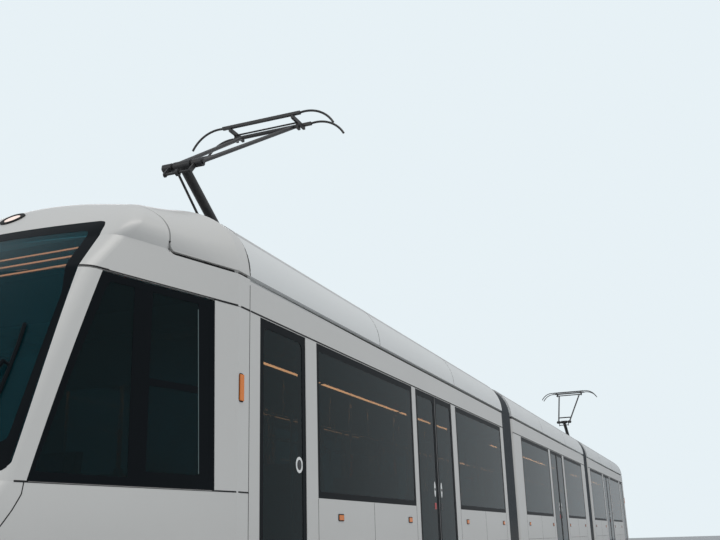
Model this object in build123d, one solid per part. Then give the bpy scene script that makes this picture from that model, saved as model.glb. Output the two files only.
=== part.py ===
from build123d import *
import math
import os

# A low-floor tram of three hinged sections that runs either way. Millimetres, +Z up.
# The origin is under the middle of the tram, at the level of the wheel flanges' tips.
# The first cab looks along -Y. Heights named here are measured from the rails' top.

# Running gear
GAUGE = 1435.0
FLANGE_PLAY = 5.0            # room between each flange and its rail
FLANGE_HEIGHT = 25.0
WHEEL_RADIUS = 300.0
WHEEL_WIDTH = 115.0
RIM_THICKNESS = 52.0
WEB_THICKNESS = 34.0
HUB_RADIUS = 108.0
AXLE_RADIUS = 66.0
JOURNAL_RADIUS = 58.0
JOURNAL_PLAY = 0.05
WHEELBASE = 1800.0
BEAM_X = (930.0, 1060.0)     # inner and outer face of a bogie's side beam
BEAM_LOW = 145.0
BEAM_DROP_TOP = 300.0        # top of the dropped middle, where the springs stand
BEAM_END_TOP = 395.0
AXLE_BOX_RADIUS = 118.0
TRANSOM_HALF = 255.0
TRANSOM_HEIGHTS = (145.0, 300.0)
SPRING_RADIUS = 96.0
MOTOR_RADIUS = 112.0
MOTOR_HALF = 440.0
MOTOR_OFFSET = 560.0
TRACK_BRAKE_HALF = 380.0
TRACK_BRAKE_SIZE = (70.0, 72.0)
TRACK_BRAKE_GAP = 14.0       # from the rail's top to the brake's shoe
PIVOT_RADIUS = 105.0
PIVOT_DEPTH = 215.0
SEAT_GAP = 0.3               # between pieces that lie against each other

# Body
BODY_WIDTH = 2650.0
WALL = 75.0
SKIRT_LOW = 215.0
SKIRT_TOP = 810.0
END_ROUND = 60.0             # rounding of the walls beside the gangways
PANEL_GAP = 4.0
FLOOR = 360.0
FLOOR_THICKNESS = 70.0
BOGIE_FLOOR = 430.0
BOGIE_FLOOR_THICKNESS = 38.0
SILL = 1195.0
GLASS_TOP = 2470.0
WALL_TOP = 2705.0
GUTTER = 42.0
FAIRING_RADIUS = 520.0       # of the round shoulder from the gutter to the roof
FAIRING_THICKNESS = 28.0
FAIRING_TOP = 3240.0         # height of its inner edge
FAIRING_FOOT = (85.0, 25.0)  # width and thickness of the flange it stands on
FAIRING_PANEL = 2600.0       # about the length of one of its panels
CEILING = 2400.0
PANE = 10.0
PANE_INSET = 3.0
CORNER = 4.0                 # rounding of the window corners
DOOR_CORNER = 60.0           # rounding of the lights in the door leaves

BODY_HALF = BODY_WIDTH / 2
INNER_HALF = BODY_HALF - WALL
FLOOR_HALF = INNER_HALF - SEAT_GAP
DECK_TOP = WALL_TOP + SEAT_GAP + GUTTER
FAIRING_LOW = DECK_TOP + SEAT_GAP


def shoulder(height):
    """How far the roof's round shoulder lies in from the body's side at a height."""
    return FAIRING_RADIUS - math.sqrt(FAIRING_RADIUS ** 2 - (height - FAIRING_LOW) ** 2)


# Bays of a side wall: (kind, width of the post before it, width of the aperture). The middle
# module's are listed from one end to the other, an end module's from the gangway to the cab
MIDDLE_BAYS = (("window", 620.0, 2600.0), ("door", 190.0, 1440.0), ("window", 190.0, 2600.0))
MIDDLE_LAST_POST = 620.0
END_BAYS = (("window", 240.0, 2540.0), ("door", 190.0, 1440.0), ("window", 130.0, 2540.0), ("door", 220.0, 790.0))
CAB_POST = 160.0
GANGWAY = 700.0


def length_of(bays, last_post):
    """Length of a module's side wall."""
    return sum(post + width for _, post, width in bays) + last_post


def apertures_from(start, bays):
    """Apertures of a module as (kind, start, end) along the tram."""
    rows = []
    for kind, post, width in bays:
        rows.append((kind, start + post, start + post + width))
        start += post + width
    return rows


# Lengths along the tram, from its middle
MIDDLE_MODULE_END = length_of(MIDDLE_BAYS, MIDDLE_LAST_POST) / 2
END_MODULE_END = MIDDLE_MODULE_END + GANGWAY
SEAM = END_MODULE_END + length_of(END_BAYS, CAB_POST)   # joint between the cab mask and the side walls
HINGE = (END_MODULE_END + MIDDLE_MODULE_END) / 2
MIDDLE_APERTURES = apertures_from(-MIDDLE_MODULE_END, MIDDLE_BAYS)
END_APERTURES = apertures_from(END_MODULE_END, END_BAYS)
INNER_WINDOW, DOUBLE_DOOR, OUTER_WINDOW, SINGLE_DOOR = [(start, end) for _, start, end in END_APERTURES]
MIDDLE_DOOR, MIDDLE_WINDOW = [(start, end) for _, start, end in MIDDLE_APERTURES[1:]]
END_BOGIE = sum(OUTER_WINDOW) / 2
MIDDLE_BOGIE = sum(MIDDLE_WINDOW) / 2 + 20.0

# Wheel boxes above the bogies
WHEEL_BOX_TOP = 715.0
WHEEL_BOX_PLATE = 28.0
WHEEL_BOX_INNER = 487.0
WHEEL_BOX_NEAR = 427.0
WHEEL_BOX_FAR = 1360.0
RAMP_START = 1000.0

# Doors
DOUBLE_DOOR_FROM = 1100.0    # an aperture at least this wide has two leaves
LEAF = 44.0
LEAF_INSET = 4.0
LEAF_FRAME = 62.0
DOOR_SILL = 300.0

# Sections of the cab mask, low to high. Columns: height, nose ahead of the seam, corner ahead
# of the seam, corner in from the body's side, seam in from the body's side, corner radius
NOSE_LOW = (235.0, 2330.0, 1880.0, 425.0, 0.0, 240.0)
NOSE_MIDDLE = (600.0, 2800.0, 2200.0, 315.0, 0.0, 240.0)
NOSE_TOP = (SILL, 2370.0, 2003.0, 295.0, 0.0, 150.0)
PILLAR_MIDDLE = (1740.0, 2040.0, 1755.0, 325.0, 0.0, 135.0)
PILLAR_TOP = (GLASS_TOP + 10.0, 1575.0, 1411.0, 331.0, 0.0, 120.0)
BROW_TOP = (FAIRING_LOW, 1327.0, 1188.0, 302.0, 0.0, 120.0)
CROWN_EDGE = (2950.0, 1140.0, 1020.0, 285.0, shoulder(2950.0), 120.0)
CROWN_LOW = (3110.0, 960.0, 790.0, 455.0, shoulder(3110.0), 120.0)
CROWN_HIGH = (FAIRING_TOP, 740.0, 480.0, 635.0, shoulder(FAIRING_TOP), 110.0)
CROWN_TOP = (3320.0, 470.0, 220.0, 845.0, 625.0, 90.0)
CAB_SHELLS = {
    "nose": (NOSE_LOW, NOSE_MIDDLE, NOSE_TOP),
    "pillars": (NOSE_TOP, PILLAR_MIDDLE, PILLAR_TOP),
    "brow": (PILLAR_TOP, BROW_TOP),
    "crown": (BROW_TOP, CROWN_EDGE, CROWN_LOW, CROWN_HIGH, CROWN_TOP),
}
CAB_BAND = 160.0             # flat stretch behind the taper of the cab's sides
MASK_WALL = 55.0
# Groove where the roof's fairing ends on the cab: how far it reaches ahead of the seam, the
# rounding of its corner, its width along the gutter and at the front, and its depth
CAB_GROOVE = (790.0, 60.0, 29.0, 14.0, 25.0)
SIDE_PANE = 12.0

# Cab windows: from the seam forwards, and the windscreen's edge in from the body's side at
# three heights
CAB_WINDOW_REAR = 390.0
CAB_WINDOW_FRONT_LOW = 1855.0
CAB_WINDOW_FRONT_TOP = 1310.0
WINDSCREEN_OUTLINE = ((297.0, 1230.0), (389.0, GLASS_TOP), (425.0, 2882.0))

# Lamps. Head lamps: (from, to) in from the body's side, (height from, to)
HEAD_LAMP = ((725.0, 445.0), (735.0, 850.0))
LENS = 22.0
TOP_LAMP = (3071.0, 1000.0, 84.0, 42.0)  # height, ahead of the seam, radius, tilt
TOP_LAMP_PROUD = 8.0
SIDE_LAMP = (120.0, 55.0, 1902.0, 183.0)  # ahead of the seam, width, height, length
MARKER = (100.0, 42.0, 8.0, 1050.0)     # length, height of the lens, how far it stands out, its height
END_MARKERS = (OUTER_WINDOW[1] - 460.0, OUTER_WINDOW[0] + 230.0, INNER_WINDOW[1] - 300.0, INNER_WINDOW[0] + 200.0)
MIDDLE_MARKERS = (MIDDLE_WINDOW[1] - 220.0, MIDDLE_WINDOW[0] + 120.0)

# Towing socket under the nose, and the gangway's hinge
TOW_BORE = 25.0
TOW_TUBE = 52.0
TOW_DEPTH = 130.0
DRILL_ANGLE = 118.0          # of the point that a drill leaves at a hole's end
TOW_HEIGHT = 440.0
TOW_REACH = 2660.0           # its mouth, ahead of the seam
TOW_FLANGE = 220.0
CRASH_BEAM_REACH = 2340.0    # ahead of the seam
CRASH_BEAM_HALF = 350.0
CRASH_BEAM_LOW = 330.0
CRASH_BEAM_PLATE = 60.0
CRASH_WEB_OFFSET = 200.0
SPINE_HALF = 260.0
CAB_FLOOR_REACH = 1800.0
CAB_FLOOR_FRONT_HALF = 790.0
HINGE_PIN = 60.0
HINGE_PLATE = 340.0
HINGE_KNEE = 60.0
TONGUE_HALF = 250.0
BELLOWS_FOLDS = 7
BELLOWS_WALL = 165.0         # from the body's side to the gangway's inner face
BELLOWS_TOP = 2440.0
# Outer arch of the bellows, low to high: (in from the body's side, height)
BELLOWS_INSET = 20.0
BELLOWS_ARCH = ((BELLOWS_INSET, 300.0), (BELLOWS_INSET, FAIRING_LOW),
                *((BELLOWS_INSET + shoulder(height), height) for height in (2980.0, 3140.0, FAIRING_TOP)),
                (875.0, 3305.0))

POLE_RADIUS = 17.0
POLE_X = 520.0
END_POLES = (
    (-SINGLE_DOOR[0] + 70.0, POLE_X),
    (-DOUBLE_DOOR[1] + 20.0, POLE_X),
    (-DOUBLE_DOOR[0] + 70.0, POLE_X),
    (-INNER_WINDOW[0] - 490.0, POLE_X - 100.0),
)
MIDDLE_POLES = (
    (MIDDLE_DOOR[0] - 70.0, POLE_X),
    (MIDDLE_DOOR[1] + 70.0, POLE_X),
    (-MIDDLE_MODULE_END + 280.0, POLE_X + 100.0),
    (MIDDLE_MODULE_END - 280.0, POLE_X + 100.0),
)

JACK_PAD = 235.0             # height of the jacking pads' lower face
JACK_PAD_OFFSET = 150.0      # from the wheel boxes' far walls
LADDER_LOW = 245.0
LADDER_RAIL = (INNER_HALF - 210.0, INNER_HALF - 90.0)
LADDER_MEMBER = 90.0
LADDER_PITCH = 900.0
BOLSTER_HALF = 870.0
BOLSTER_REACH = 230.0
BOLSTER_LOW = 330.0
RIM_FLANGE = 32.0            # thickness of the flange where it meets the tread

# Roof equipment: half width, start, length, top. Measured along the roof from the module's
# gangway end, and in the middle module from its front end
END_ROOF_BOXES = ((720.0, 570.0, 2700.0, 3190.0), (700.0, 3570.0, 1500.0, 3120.0))
MIDDLE_ROOF_BOXES = ((720.0, 630.0, 2600.0, 3190.0), (700.0, 3530.0, 1500.0, 3120.0), (640.0, 5330.0, 2200.0, 3150.0))
ROOF_BOX_EDGE = 35.0         # chamfer round a box's lid
CEILING_EDGE = 2590.0        # where the ceiling's slope meets the wall
CEILING_SLOPE = 250.0        # width of the slope
DECK_INSET = 48.0            # from the body's side to the deck's edge
DECK_SKIN = 30.0

# Bogies, from front to rear: name, centre along the tram
BOGIES = (("first", -END_BOGIE), ("second", -MIDDLE_BOGIE), ("third", MIDDLE_BOGIE), ("fourth", END_BOGIE))

# Pantographs: name, the lower arm's foot along the tram. Both knees point to the front
PANTOGRAPHS = (("front", -END_BOGIE + 40.0), ("rear", END_BOGIE + 1130.0))
AXLE_HEIGHT = WHEEL_RADIUS

os.makedirs("parts", exist_ok=True)


def lift(height):
    """Z of a height above the rails' top."""
    return height + FLANGE_HEIGHT


def block(x, y, z):
    """Box between (low, high) pairs; z is given above the rails' top."""
    size = [max(pair) - min(pair) for pair in (x, y, z)]
    middle = [sum(pair) / 2 for pair in (x, y, z)]
    middle[2] = lift(middle[2])
    return Pos(*middle) * Box(*size)


def side_profile(points, x_low, x_high):
    """Solid from a profile of (y, height) points, between two X planes."""
    wire = Polyline(*[(x_low, y, lift(h)) for y, h in points], close=True)
    return extrude(make_face(wire), amount=x_high - x_low, dir=(1, 0, 0))


def cross_profile(points, y_low, y_high):
    """Solid from a profile of (x, height) points, between two Y planes."""
    wire = Polyline(*[(x, y_low, lift(h)) for x, h in points], close=True)
    return extrude(make_face(wire), amount=y_high - y_low, dir=(0, 1, 0))


def across(radius, x_low, x_high, y, height):
    """Cylinder whose axis lies across the tram."""
    middle = ((x_low + x_high) / 2, y, lift(height))
    return Pos(*middle) * Rot(0, 90, 0) * Cylinder(radius, x_high - x_low)


def along(radius, y_low, y_high, x, height):
    """Cylinder whose axis lies along the tram."""
    return Pos(x, (y_low + y_high) / 2, lift(height)) * Rot(90, 0, 0) * Cylinder(radius, y_high - y_low)


def upright(radius, x, y, low, high):
    """Cylinder that stands upright, between two heights."""
    return Pos(x, y, lift((low + high) / 2)) * Cylinder(radius, high - low)


def solids_of(shape):
    """Every solid in a shape or a list of shapes."""
    if isinstance(shape, (list, tuple)):
        return [solid for item in shape for solid in solids_of(item)]
    return list(shape.solids())


def both_sides(shapes):
    """The shapes and their mirror images on the other side of the tram."""
    found = solids_of(shapes)
    return found + [solid for shape in found for solid in solids_of(mirror(shape, about=Plane.YZ))]


def turned(shapes):
    """The shapes at the other end of the tram, turned half round."""
    return [Rot(0, 0, 180) * solid for solid in solids_of(shapes)]


def save(name, shapes):
    """Write one piece of the tram as a compound of its solids."""
    compound = Compound(children=solids_of(shapes))
    compound.label = name
    export_step(compound, f"parts/{name}.step")


# Cab mask, windscreen, cab windows and lamps

def cab_section(row, inset, shift):
    """Plan outline of the cab at one height, taken in all round by an inset."""
    height, nose, corner_ahead, corner_in, seam_in, radius = row
    seam = -SEAM + (1.0 if inset else 0.0)
    corner = (BODY_HALF - corner_in - inset, -SEAM - corner_ahead + inset * 0.6)
    tip = -SEAM - nose + inset
    start = BODY_HALF - seam_in - inset
    z = lift(height + shift)
    band = -SEAM - CAB_BAND
    face = make_face([
        Line((start, seam, z), (start, band, z)),
        Line((start, band, z), (corner[0], corner[1], z)),
        ThreePointArc((corner[0], corner[1], z), (0.0, tip, z), (-corner[0], corner[1], z)),
        Line((-corner[0], corner[1], z), (-start, band, z)),
        Line((-start, band, z), (-start, seam, z)),
        Line((-start, seam, z), (start, seam, z)),
    ])
    front = [v for v in face.vertices() if v.Y < (band + corner[1]) / 2]
    return fillet(front, max(radius - inset, 20.0))


def cab_solid(shell, inset, low=0.0, high=0.0):
    """Smooth solid through the sections of one shell; its ends move by low and high."""
    rows = CAB_SHELLS[shell]
    last = len(rows) - 1
    shifts = [low if index == 0 else high if index == last else 0.0 for index in range(len(rows))]
    return loft([cab_section(row, inset, shift) for row, shift in zip(rows, shifts)])


def windscreen_prism(grow):
    """The windscreen's front view, grown or shrunk all round, through the cab's front."""
    rows = WINDSCREEN_OUTLINE
    points = [(BODY_HALF - x + grow, h) for x, h in rows]
    points[0] = (points[0][0], rows[0][1] - grow)
    points[-1] = (points[-1][0], rows[-1][1] + grow)
    outline = points + [(-x, h) for x, h in reversed(points)]
    y = -SEAM - 3200.0
    face = make_face(Polyline(*[(x, y, lift(h)) for x, h in outline], close=True))
    face = fillet([v for v in face.vertices() if v.Z > lift(rows[-1][1] - 50.0)], 70.0 + grow)
    face = fillet([v for v in face.vertices() if v.Z < lift(rows[0][1] + 50.0)], 60.0 + grow)
    return extrude(face, amount=2600.0, dir=(0, 1, 0))


def cab_window_prism(low, high, grow):
    """The cab window's side view between two heights, through the right side."""
    slope = (CAB_WINDOW_FRONT_TOP - CAB_WINDOW_FRONT_LOW) / (GLASS_TOP - SILL)
    rear = -SEAM - CAB_WINDOW_REAR + grow
    fronts = [-SEAM - CAB_WINDOW_FRONT_LOW - slope * (h - SILL) - grow for h in (low, high)]
    points = ((rear, low), (fronts[0], low), (fronts[1], high), (rear, high))
    face = make_face(Polyline(*[(850.0, y, lift(h)) for y, h in points], close=True))
    return extrude(face, amount=600.0, dir=(1, 0, 0))


def head_lamp_prism(grow):
    """The right head lamp's front view, through the nose."""
    (near, far), h = HEAD_LAMP
    x = (BODY_HALF - near - grow, BODY_HALF - far + grow)
    prism = block(x, (-SEAM - 3000.0, -SEAM - 1800.0), (h[0] - grow, h[1] + grow))
    return fillet(prism.edges().filter_by(Axis.Y), 40.0 + grow)


def top_lamp_body(radius, length):
    """Round bar through the lamp above the windscreen, square to the sloping crown."""
    height, ahead, _, tilt = TOP_LAMP
    return Pos(0, -SEAM - ahead, lift(height)) * Rot(tilt, 0, 0) * Cylinder(radius, length)


def side_lamp_body(grow):
    """Amber lamp on the cab's side, set into the mask."""
    ahead, width, height, length = SIDE_LAMP
    y = -SEAM - ahead
    x = (BODY_HALF - 38.0 - grow, BODY_HALF + 10.0)
    return block(x, (y - width / 2 - grow, y + width / 2 + grow),
                 (height - length / 2 - grow, height + length / 2 + grow))


def groove_cutter():
    """Groove that carries the gutter's line on to the cab and turns up at the fairing's end."""
    reach, radius, low_width, front_width, depth = CAB_GROOVE
    x = (BODY_HALF - 600.0, BODY_HALF + 20.0)
    def plate(grow, drop):
        slab = block(x, (-SEAM - reach - grow, -SEAM + 50.0), (FAIRING_LOW - drop, CROWN_TOP[0] + 50.0))
        corner = slab.edges().filter_by(Axis.X).sort_by(Axis.Z)[:2].sort_by(Axis.Y)[0]
        return fillet(corner, radius + grow)
    ring = plate(front_width, low_width) - plate(0.0, PANEL_GAP)
    return ring - (cab_solid("brow", depth, -20.0, 0.0) + cab_solid("crown", depth))


def make_cab():
    """Mask in panels, the windscreen, the cab windows and the cab's lamps."""
    half_gap = SEAT_GAP / 2
    nose = cab_solid("nose", 0.0, 0.0, -half_gap) - cab_solid("nose", MASK_WALL, -20.0, 20.0)
    pillars = cab_solid("pillars", 0.0, half_gap, -PANEL_GAP) - cab_solid("pillars", MASK_WALL, -20.0, 20.0)
    cap = cab_solid("brow", 0.0) + cab_solid("crown", 0.0)
    cap -= cab_solid("brow", MASK_WALL, -20.0, 0.0) + cab_solid("crown", MASK_WALL, 0.0, -MASK_WALL)
    screen_hole = windscreen_prism(0.0)
    side_hole = cab_window_prism(SILL - 30.0, PILLAR_TOP[0] + 30.0, 0.0)
    side_lamp_hole = side_lamp_body(SEAT_GAP)
    for hole in (screen_hole, side_hole, mirror(side_hole, about=Plane.YZ), side_lamp_hole,
                 mirror(side_lamp_hole, about=Plane.YZ)):
        pillars -= hole
    cap -= screen_hole
    cap -= top_lamp_body(TOP_LAMP[2] + SEAT_GAP, 400.0)
    groove = groove_cutter()
    cap -= groove
    cap -= mirror(groove, about=Plane.YZ)
    lamp_hole = head_lamp_prism(0.0)
    nose -= lamp_hole
    nose -= mirror(lamp_hole, about=Plane.YZ)
    nose -= along(TOW_TUBE + SEAT_GAP, -SEAM - 3000.0, -SEAM - 1900.0, 0.0, TOW_HEIGHT)
    screen = windscreen_prism(-SEAT_GAP)
    depth = PANE_INSET + SIDE_PANE
    outside = (cab_solid("pillars", PANE_INSET) + cab_solid("brow", PANE_INSET) + cab_solid("crown", PANE_INSET)) & screen
    inside = cab_solid("pillars", depth, -20.0, 0.0) + cab_solid("brow", depth) + cab_solid("crown", depth)
    windscreen = outside - inside
    pane = cab_solid("pillars", PANE_INSET) & cab_window_prism(SILL + SEAT_GAP, GLASS_TOP, -SEAT_GAP)
    pane -= cab_solid("pillars", depth, -20.0, 20.0)
    lens = cab_solid("nose", PANE_INSET) & head_lamp_prism(-SEAT_GAP)
    lens -= cab_solid("nose", PANE_INSET + LENS, -20.0, 20.0)
    top_lens = top_lamp_body(TOP_LAMP[2], 300.0) & cab_solid("crown", -TOP_LAMP_PROUD)
    top_lens -= cab_solid("crown", MASK_WALL / 2)
    lamps = both_sides([lens, side_lamp_body(0.0)]) + solids_of(top_lens)
    return solids_of([nose, pillars, cap]), windscreen, both_sides(pane), lamps


def make_markers(places):
    """Small amber lamps on the side walls, both sides."""
    length, height, depth, level = MARKER
    x = (BODY_HALF + SEAT_GAP, BODY_HALF + SEAT_GAP + depth)
    lenses = [block(x, (y - length / 2, y + length / 2), (level - height / 2, level + height / 2)) for y in places]
    return both_sides(lenses)


# Side walls, doors and windows

def aperture_box(kind, start, end, grow=0.0):
    """Box through the right side wall for one aperture, grown or shrunk all round."""
    low = DOOR_SILL if kind == "door" else SILL
    cutter = block((INNER_HALF - 20.0, BODY_HALF + 20.0), (start - grow, end + grow), (low - grow, GLASS_TOP + grow))
    return fillet(cutter.edges().filter_by(Axis.X), CORNER + grow)


def wall_box(span, heights, gangways=()):
    """Box of a side wall; its outer upright edges at the gangways are rounded off."""
    box = block((INNER_HALF, BODY_HALF), span, heights)
    edges = [e for e in box.edges().filter_by(Axis.Z) if e.center().X > BODY_HALF - 1.0
             and min([abs(e.center().Y - y) for y in gangways], default=END_ROUND) < 1.0]
    return fillet(edges, END_ROUND) if edges else box


def make_side_walls(y_low, y_high, apertures, gangways):
    """Cant rail, posts, door sills, and the panels and skirts under the windows."""
    pieces = [wall_box((y_low, y_high), (GLASS_TOP, WALL_TOP), gangways)]
    edge = y_low
    for kind, low, high in apertures:
        pieces.append(wall_box((edge, low), (SKIRT_LOW, GLASS_TOP - SEAT_GAP), gangways))
        edge = high
        if kind == "door":
            pieces.append(wall_box((low + SEAT_GAP, high - SEAT_GAP), (SKIRT_LOW, DOOR_SILL - SEAT_GAP)))
            continue
        middle = (low + high) / 2
        for start, end in ((low, middle), (middle, high)):
            span = (start + PANEL_GAP / 2, end - PANEL_GAP / 2)
            pieces.append(wall_box(span, (SKIRT_TOP, SILL)))
            pieces.append(wall_box(span, (SKIRT_LOW, SKIRT_TOP - PANEL_GAP)))
    pieces.append(wall_box((edge, y_high), (SKIRT_LOW, GLASS_TOP - SEAT_GAP), gangways))
    return both_sides(pieces)


def make_windows(apertures):
    """Fixed panes of one module, both sides."""
    panes = []
    for kind, low, high in apertures:
        if kind == "window":
            hole = aperture_box(kind, low, high, -SEAT_GAP)
            face = BODY_HALF - PANE_INSET
            panes.append(hole & block((face - PANE, face), (low, high), (SILL, GLASS_TOP)))
    return both_sides(panes)


def leaf_spans(low, high):
    """The one or two leaves of a door, as spans along the tram."""
    if high - low < DOUBLE_DOOR_FROM:
        return [(low, high)]
    middle = (low + high) / 2
    return [(low, middle - SEAT_GAP / 2), (middle + SEAT_GAP / 2, high)]


def make_doors(apertures):
    """Door leaves as frames, and the glass that fills each frame."""
    frames, panes = [], []
    face = BODY_HALF - LEAF_INSET
    for kind, low, high in apertures:
        if kind != "door":
            continue
        hole = aperture_box(kind, low, high, -SEAT_GAP)
        for start, end in leaf_spans(low, high):
            span = (start, end)
            leaf = hole & block((face - LEAF, face), span, (DOOR_SILL, GLASS_TOP))
            light = ((start + LEAF_FRAME, end - LEAF_FRAME), (DOOR_SILL + 2 * LEAF_FRAME, GLASS_TOP - LEAF_FRAME))
            cutter = block((face - LEAF - 20.0, face + 20.0), *light)
            cutter = fillet(cutter.edges().filter_by(Axis.X), DOOR_CORNER)
            frames.append(leaf - cutter)
            inner = [(pair[0] + SEAT_GAP, pair[1] - SEAT_GAP) for pair in light]
            pane = block((face - PANE_INSET - PANE, face - PANE_INSET), *inner)
            panes.append(fillet(pane.edges().filter_by(Axis.X), DOOR_CORNER - SEAT_GAP))
    return both_sides(frames), both_sides(panes)


# Roof

def make_fairing(y_low, y_high):
    """Curved fairing along the right edge of the roof."""
    end = math.asin((FAIRING_TOP - FAIRING_LOW) / FAIRING_RADIUS)
    width, thick = FAIRING_FOOT

    def place(x_in, height):
        return (BODY_HALF - x_in, y_low, lift(height))

    def on_arc(radius, angle):
        return place(FAIRING_RADIUS - radius * math.cos(angle), FAIRING_LOW + radius * math.sin(angle))

    inner_radius = FAIRING_RADIUS - FAIRING_THICKNESS
    start = math.asin(thick / inner_radius)
    outer = [on_arc(FAIRING_RADIUS, end * share) for share in (0.0, 0.5, 1.0)]
    inner = [on_arc(inner_radius, angle) for angle in (end, (start + end) / 2, start)]
    outline = make_face([
        ThreePointArc(*outer), Line(outer[-1], inner[0]), ThreePointArc(*inner),
        Line(inner[-1], place(width, FAIRING_LOW + thick)),
        Line(place(width, FAIRING_LOW + thick), place(width, FAIRING_LOW)), Line(place(width, FAIRING_LOW), outer[0]),
    ])
    return extrude(outline, amount=y_high - y_low, dir=(0, 1, 0))


def make_roof_box(half, start, end, low, top):
    """Equipment case on the roof deck with a chamfered lid."""
    box = block((-half, half), sorted((start, end)), (low, top))
    return chamfer(box.edges().group_by(Axis.Z)[-1], ROOF_BOX_EDGE)


def make_roof(y_low, y_high, gangway, boxes):
    """Hollow ceiling and deck, a curved fairing along each edge, and the equipment cases."""
    deck_half = BODY_HALF - DECK_INSET
    flat = INNER_HALF - CEILING_SLOPE
    deck_low = WALL_TOP + SEAT_GAP
    skin = DECK_SKIN
    right = ((flat, CEILING), (FLOOR_HALF, CEILING_EDGE), (FLOOR_HALF, deck_low), (deck_half, deck_low),
             (deck_half, DECK_TOP))
    hollow = ((flat, CEILING + skin), (FLOOR_HALF - skin, CEILING_EDGE + skin), (FLOOR_HALF - skin, DECK_TOP - skin))
    outer, inner = [list(rows) + [(-x, h) for x, h in reversed(rows)] for rows in (right, hollow)]
    deck = cross_profile(outer, y_low, y_high) - cross_profile(inner, y_low - 10.0, y_high + 10.0)
    way = 1 if gangway < (y_low + y_high) / 2 else -1
    gear = [make_roof_box(half, gangway + way * start, gangway + way * (start + length), FAIRING_LOW, top)
            for half, start, length, top in boxes]
    panels = max(1, round((y_high - y_low) / FAIRING_PANEL))
    pitch = (y_high - y_low + PANEL_GAP) / panels
    fairings = [make_fairing(y_low + index * pitch, y_low + (index + 1) * pitch - PANEL_GAP) for index in range(panels)]
    return solids_of(deck) + both_sides(fairings) + solids_of(gear)


# Underframe

def wheel_box(centre, side, end):
    """Box over one wheel of a bogie, open below, with its outer end wall down to the low floor."""
    x = sorted((side * WHEEL_BOX_INNER, side * FLOOR_HALF))
    far = centre + end * (WHEEL_BOX_FAR - SEAT_GAP)
    y = sorted((centre + end * WHEEL_BOX_NEAR, far))
    plate = WHEEL_BOX_PLATE
    box = block(x, y, (BOGIE_FLOOR - BOGIE_FLOOR_THICKNESS, WHEEL_BOX_TOP))
    box += block(x, sorted((far, far - end * plate)), (FLOOR - FLOOR_THICKNESS, WHEEL_BOX_TOP))
    box -= block((x[0] + plate, x[1] - plate), (y[0] + plate, y[1] - plate), (0.0, WHEEL_BOX_TOP - plate))
    return box


def low_stretches(y_low, y_high, bogies):
    """Stretches of low floor between the bogies, as (start, end)."""
    edges = [y_low] + [centre + side * WHEEL_BOX_FAR for centre in bogies for side in (-1, 1)] + [y_high]
    return list(zip(edges[::2], edges[1::2]))


def make_floor(y_low, y_high, bogies):
    """Low floor panels, the raised panels and ramps over each bogie, and the wheel boxes."""
    low = (FLOOR - FLOOR_THICKNESS, FLOOR)
    raised = (BOGIE_FLOOR - BOGIE_FLOOR_THICKNESS, BOGIE_FLOOR)
    aisle = WHEEL_BOX_INNER - SEAT_GAP
    panels = []
    for start, end in low_stretches(y_low, y_high, bogies):
        panels.append(block((-FLOOR_HALF, FLOOR_HALF), (start + SEAT_GAP, end - SEAT_GAP), low))
    for centre in bogies:
        panels.append(block((-aisle, aisle), (centre - RAMP_START, centre + RAMP_START), raised))
        for side in (-1, 1):
            near, far = centre + side * (RAMP_START + SEAT_GAP), centre + side * WHEEL_BOX_FAR
            ramp = ((near, raised[0]), (near, raised[1]), (far, low[1]), (far, low[0]))
            panels.append(side_profile(ramp, -aisle, aisle))
            x = sorted((side * WHEEL_BOX_INNER, side * FLOOR_HALF))
            half = WHEEL_BOX_NEAR - SEAT_GAP
            panels.append(block(x, (centre - half, centre + half), raised))
            panels += [wheel_box(centre, side, end) for end in (-1, 1)]
    return solids_of(panels)


def make_cab_floor():
    """Tapered floor panel under the cab."""
    half = FLOOR_HALF - 12.0
    front = -SEAM - CAB_FLOOR_REACH
    points = ((half, -SEAM), (CAB_FLOOR_FRONT_HALF, front), (-CAB_FLOOR_FRONT_HALF, front), (-half, -SEAM))
    wire = Polyline(*[(x, y, lift(FLOOR - FLOOR_THICKNESS)) for x, y in points], close=True)
    return extrude(make_face(wire), amount=FLOOR_THICKNESS, dir=(0, 0, 1))


def make_tow_socket():
    """Tube that takes the towing bar, with its flange on the crash beam."""
    mouth = -SEAM - TOW_REACH
    foot = -SEAM - CRASH_BEAM_REACH - SEAT_GAP
    socket = along(TOW_TUBE, mouth, foot, 0.0, TOW_HEIGHT)
    socket += block((-TOW_FLANGE / 2, TOW_FLANGE / 2), (foot - 36.0, foot), (TOW_HEIGHT - 68.0, TOW_HEIGHT + 68.0))
    floor = mouth + TOW_DEPTH
    point = Cone(TOW_BORE, 0.0, TOW_BORE / math.tan(math.radians(DRILL_ANGLE / 2)),
                 align=(Align.CENTER, Align.CENTER, Align.MIN))
    socket -= along(TOW_BORE, mouth - 10.0, floor, 0.0, TOW_HEIGHT)
    return socket - Pos(0, floor, lift(TOW_HEIGHT)) * Rot(-90, 0, 0) * point


def make_cab_frame():
    """Spine under the cab floor and the crash beam that carries the towing socket."""
    top = FLOOR - FLOOR_THICKNESS - SEAT_GAP
    floor_front = -SEAM - CAB_FLOOR_REACH - SEAT_GAP
    crash = -SEAM - CRASH_BEAM_REACH
    web = crash + CRASH_WEB_OFFSET
    frame = block((-SPINE_HALF, SPINE_HALF), (web, -SEAM + 100.0), (LADDER_LOW, top))
    frame += block((-SPINE_HALF, SPINE_HALF), (web, floor_front), (LADDER_LOW, CRASH_BEAM_LOW + 40.0))
    frame += block((-CRASH_BEAM_HALF, CRASH_BEAM_HALF), (crash, floor_front), (CRASH_BEAM_LOW, TOW_HEIGHT + 70.0))
    plate = CRASH_BEAM_PLATE
    pocket = (crash + plate, floor_front - plate)
    frame -= block((-SPINE_HALF, SPINE_HALF), pocket, (LADDER_LOW + plate, TOW_HEIGHT + 80.0))
    return frame


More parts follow.
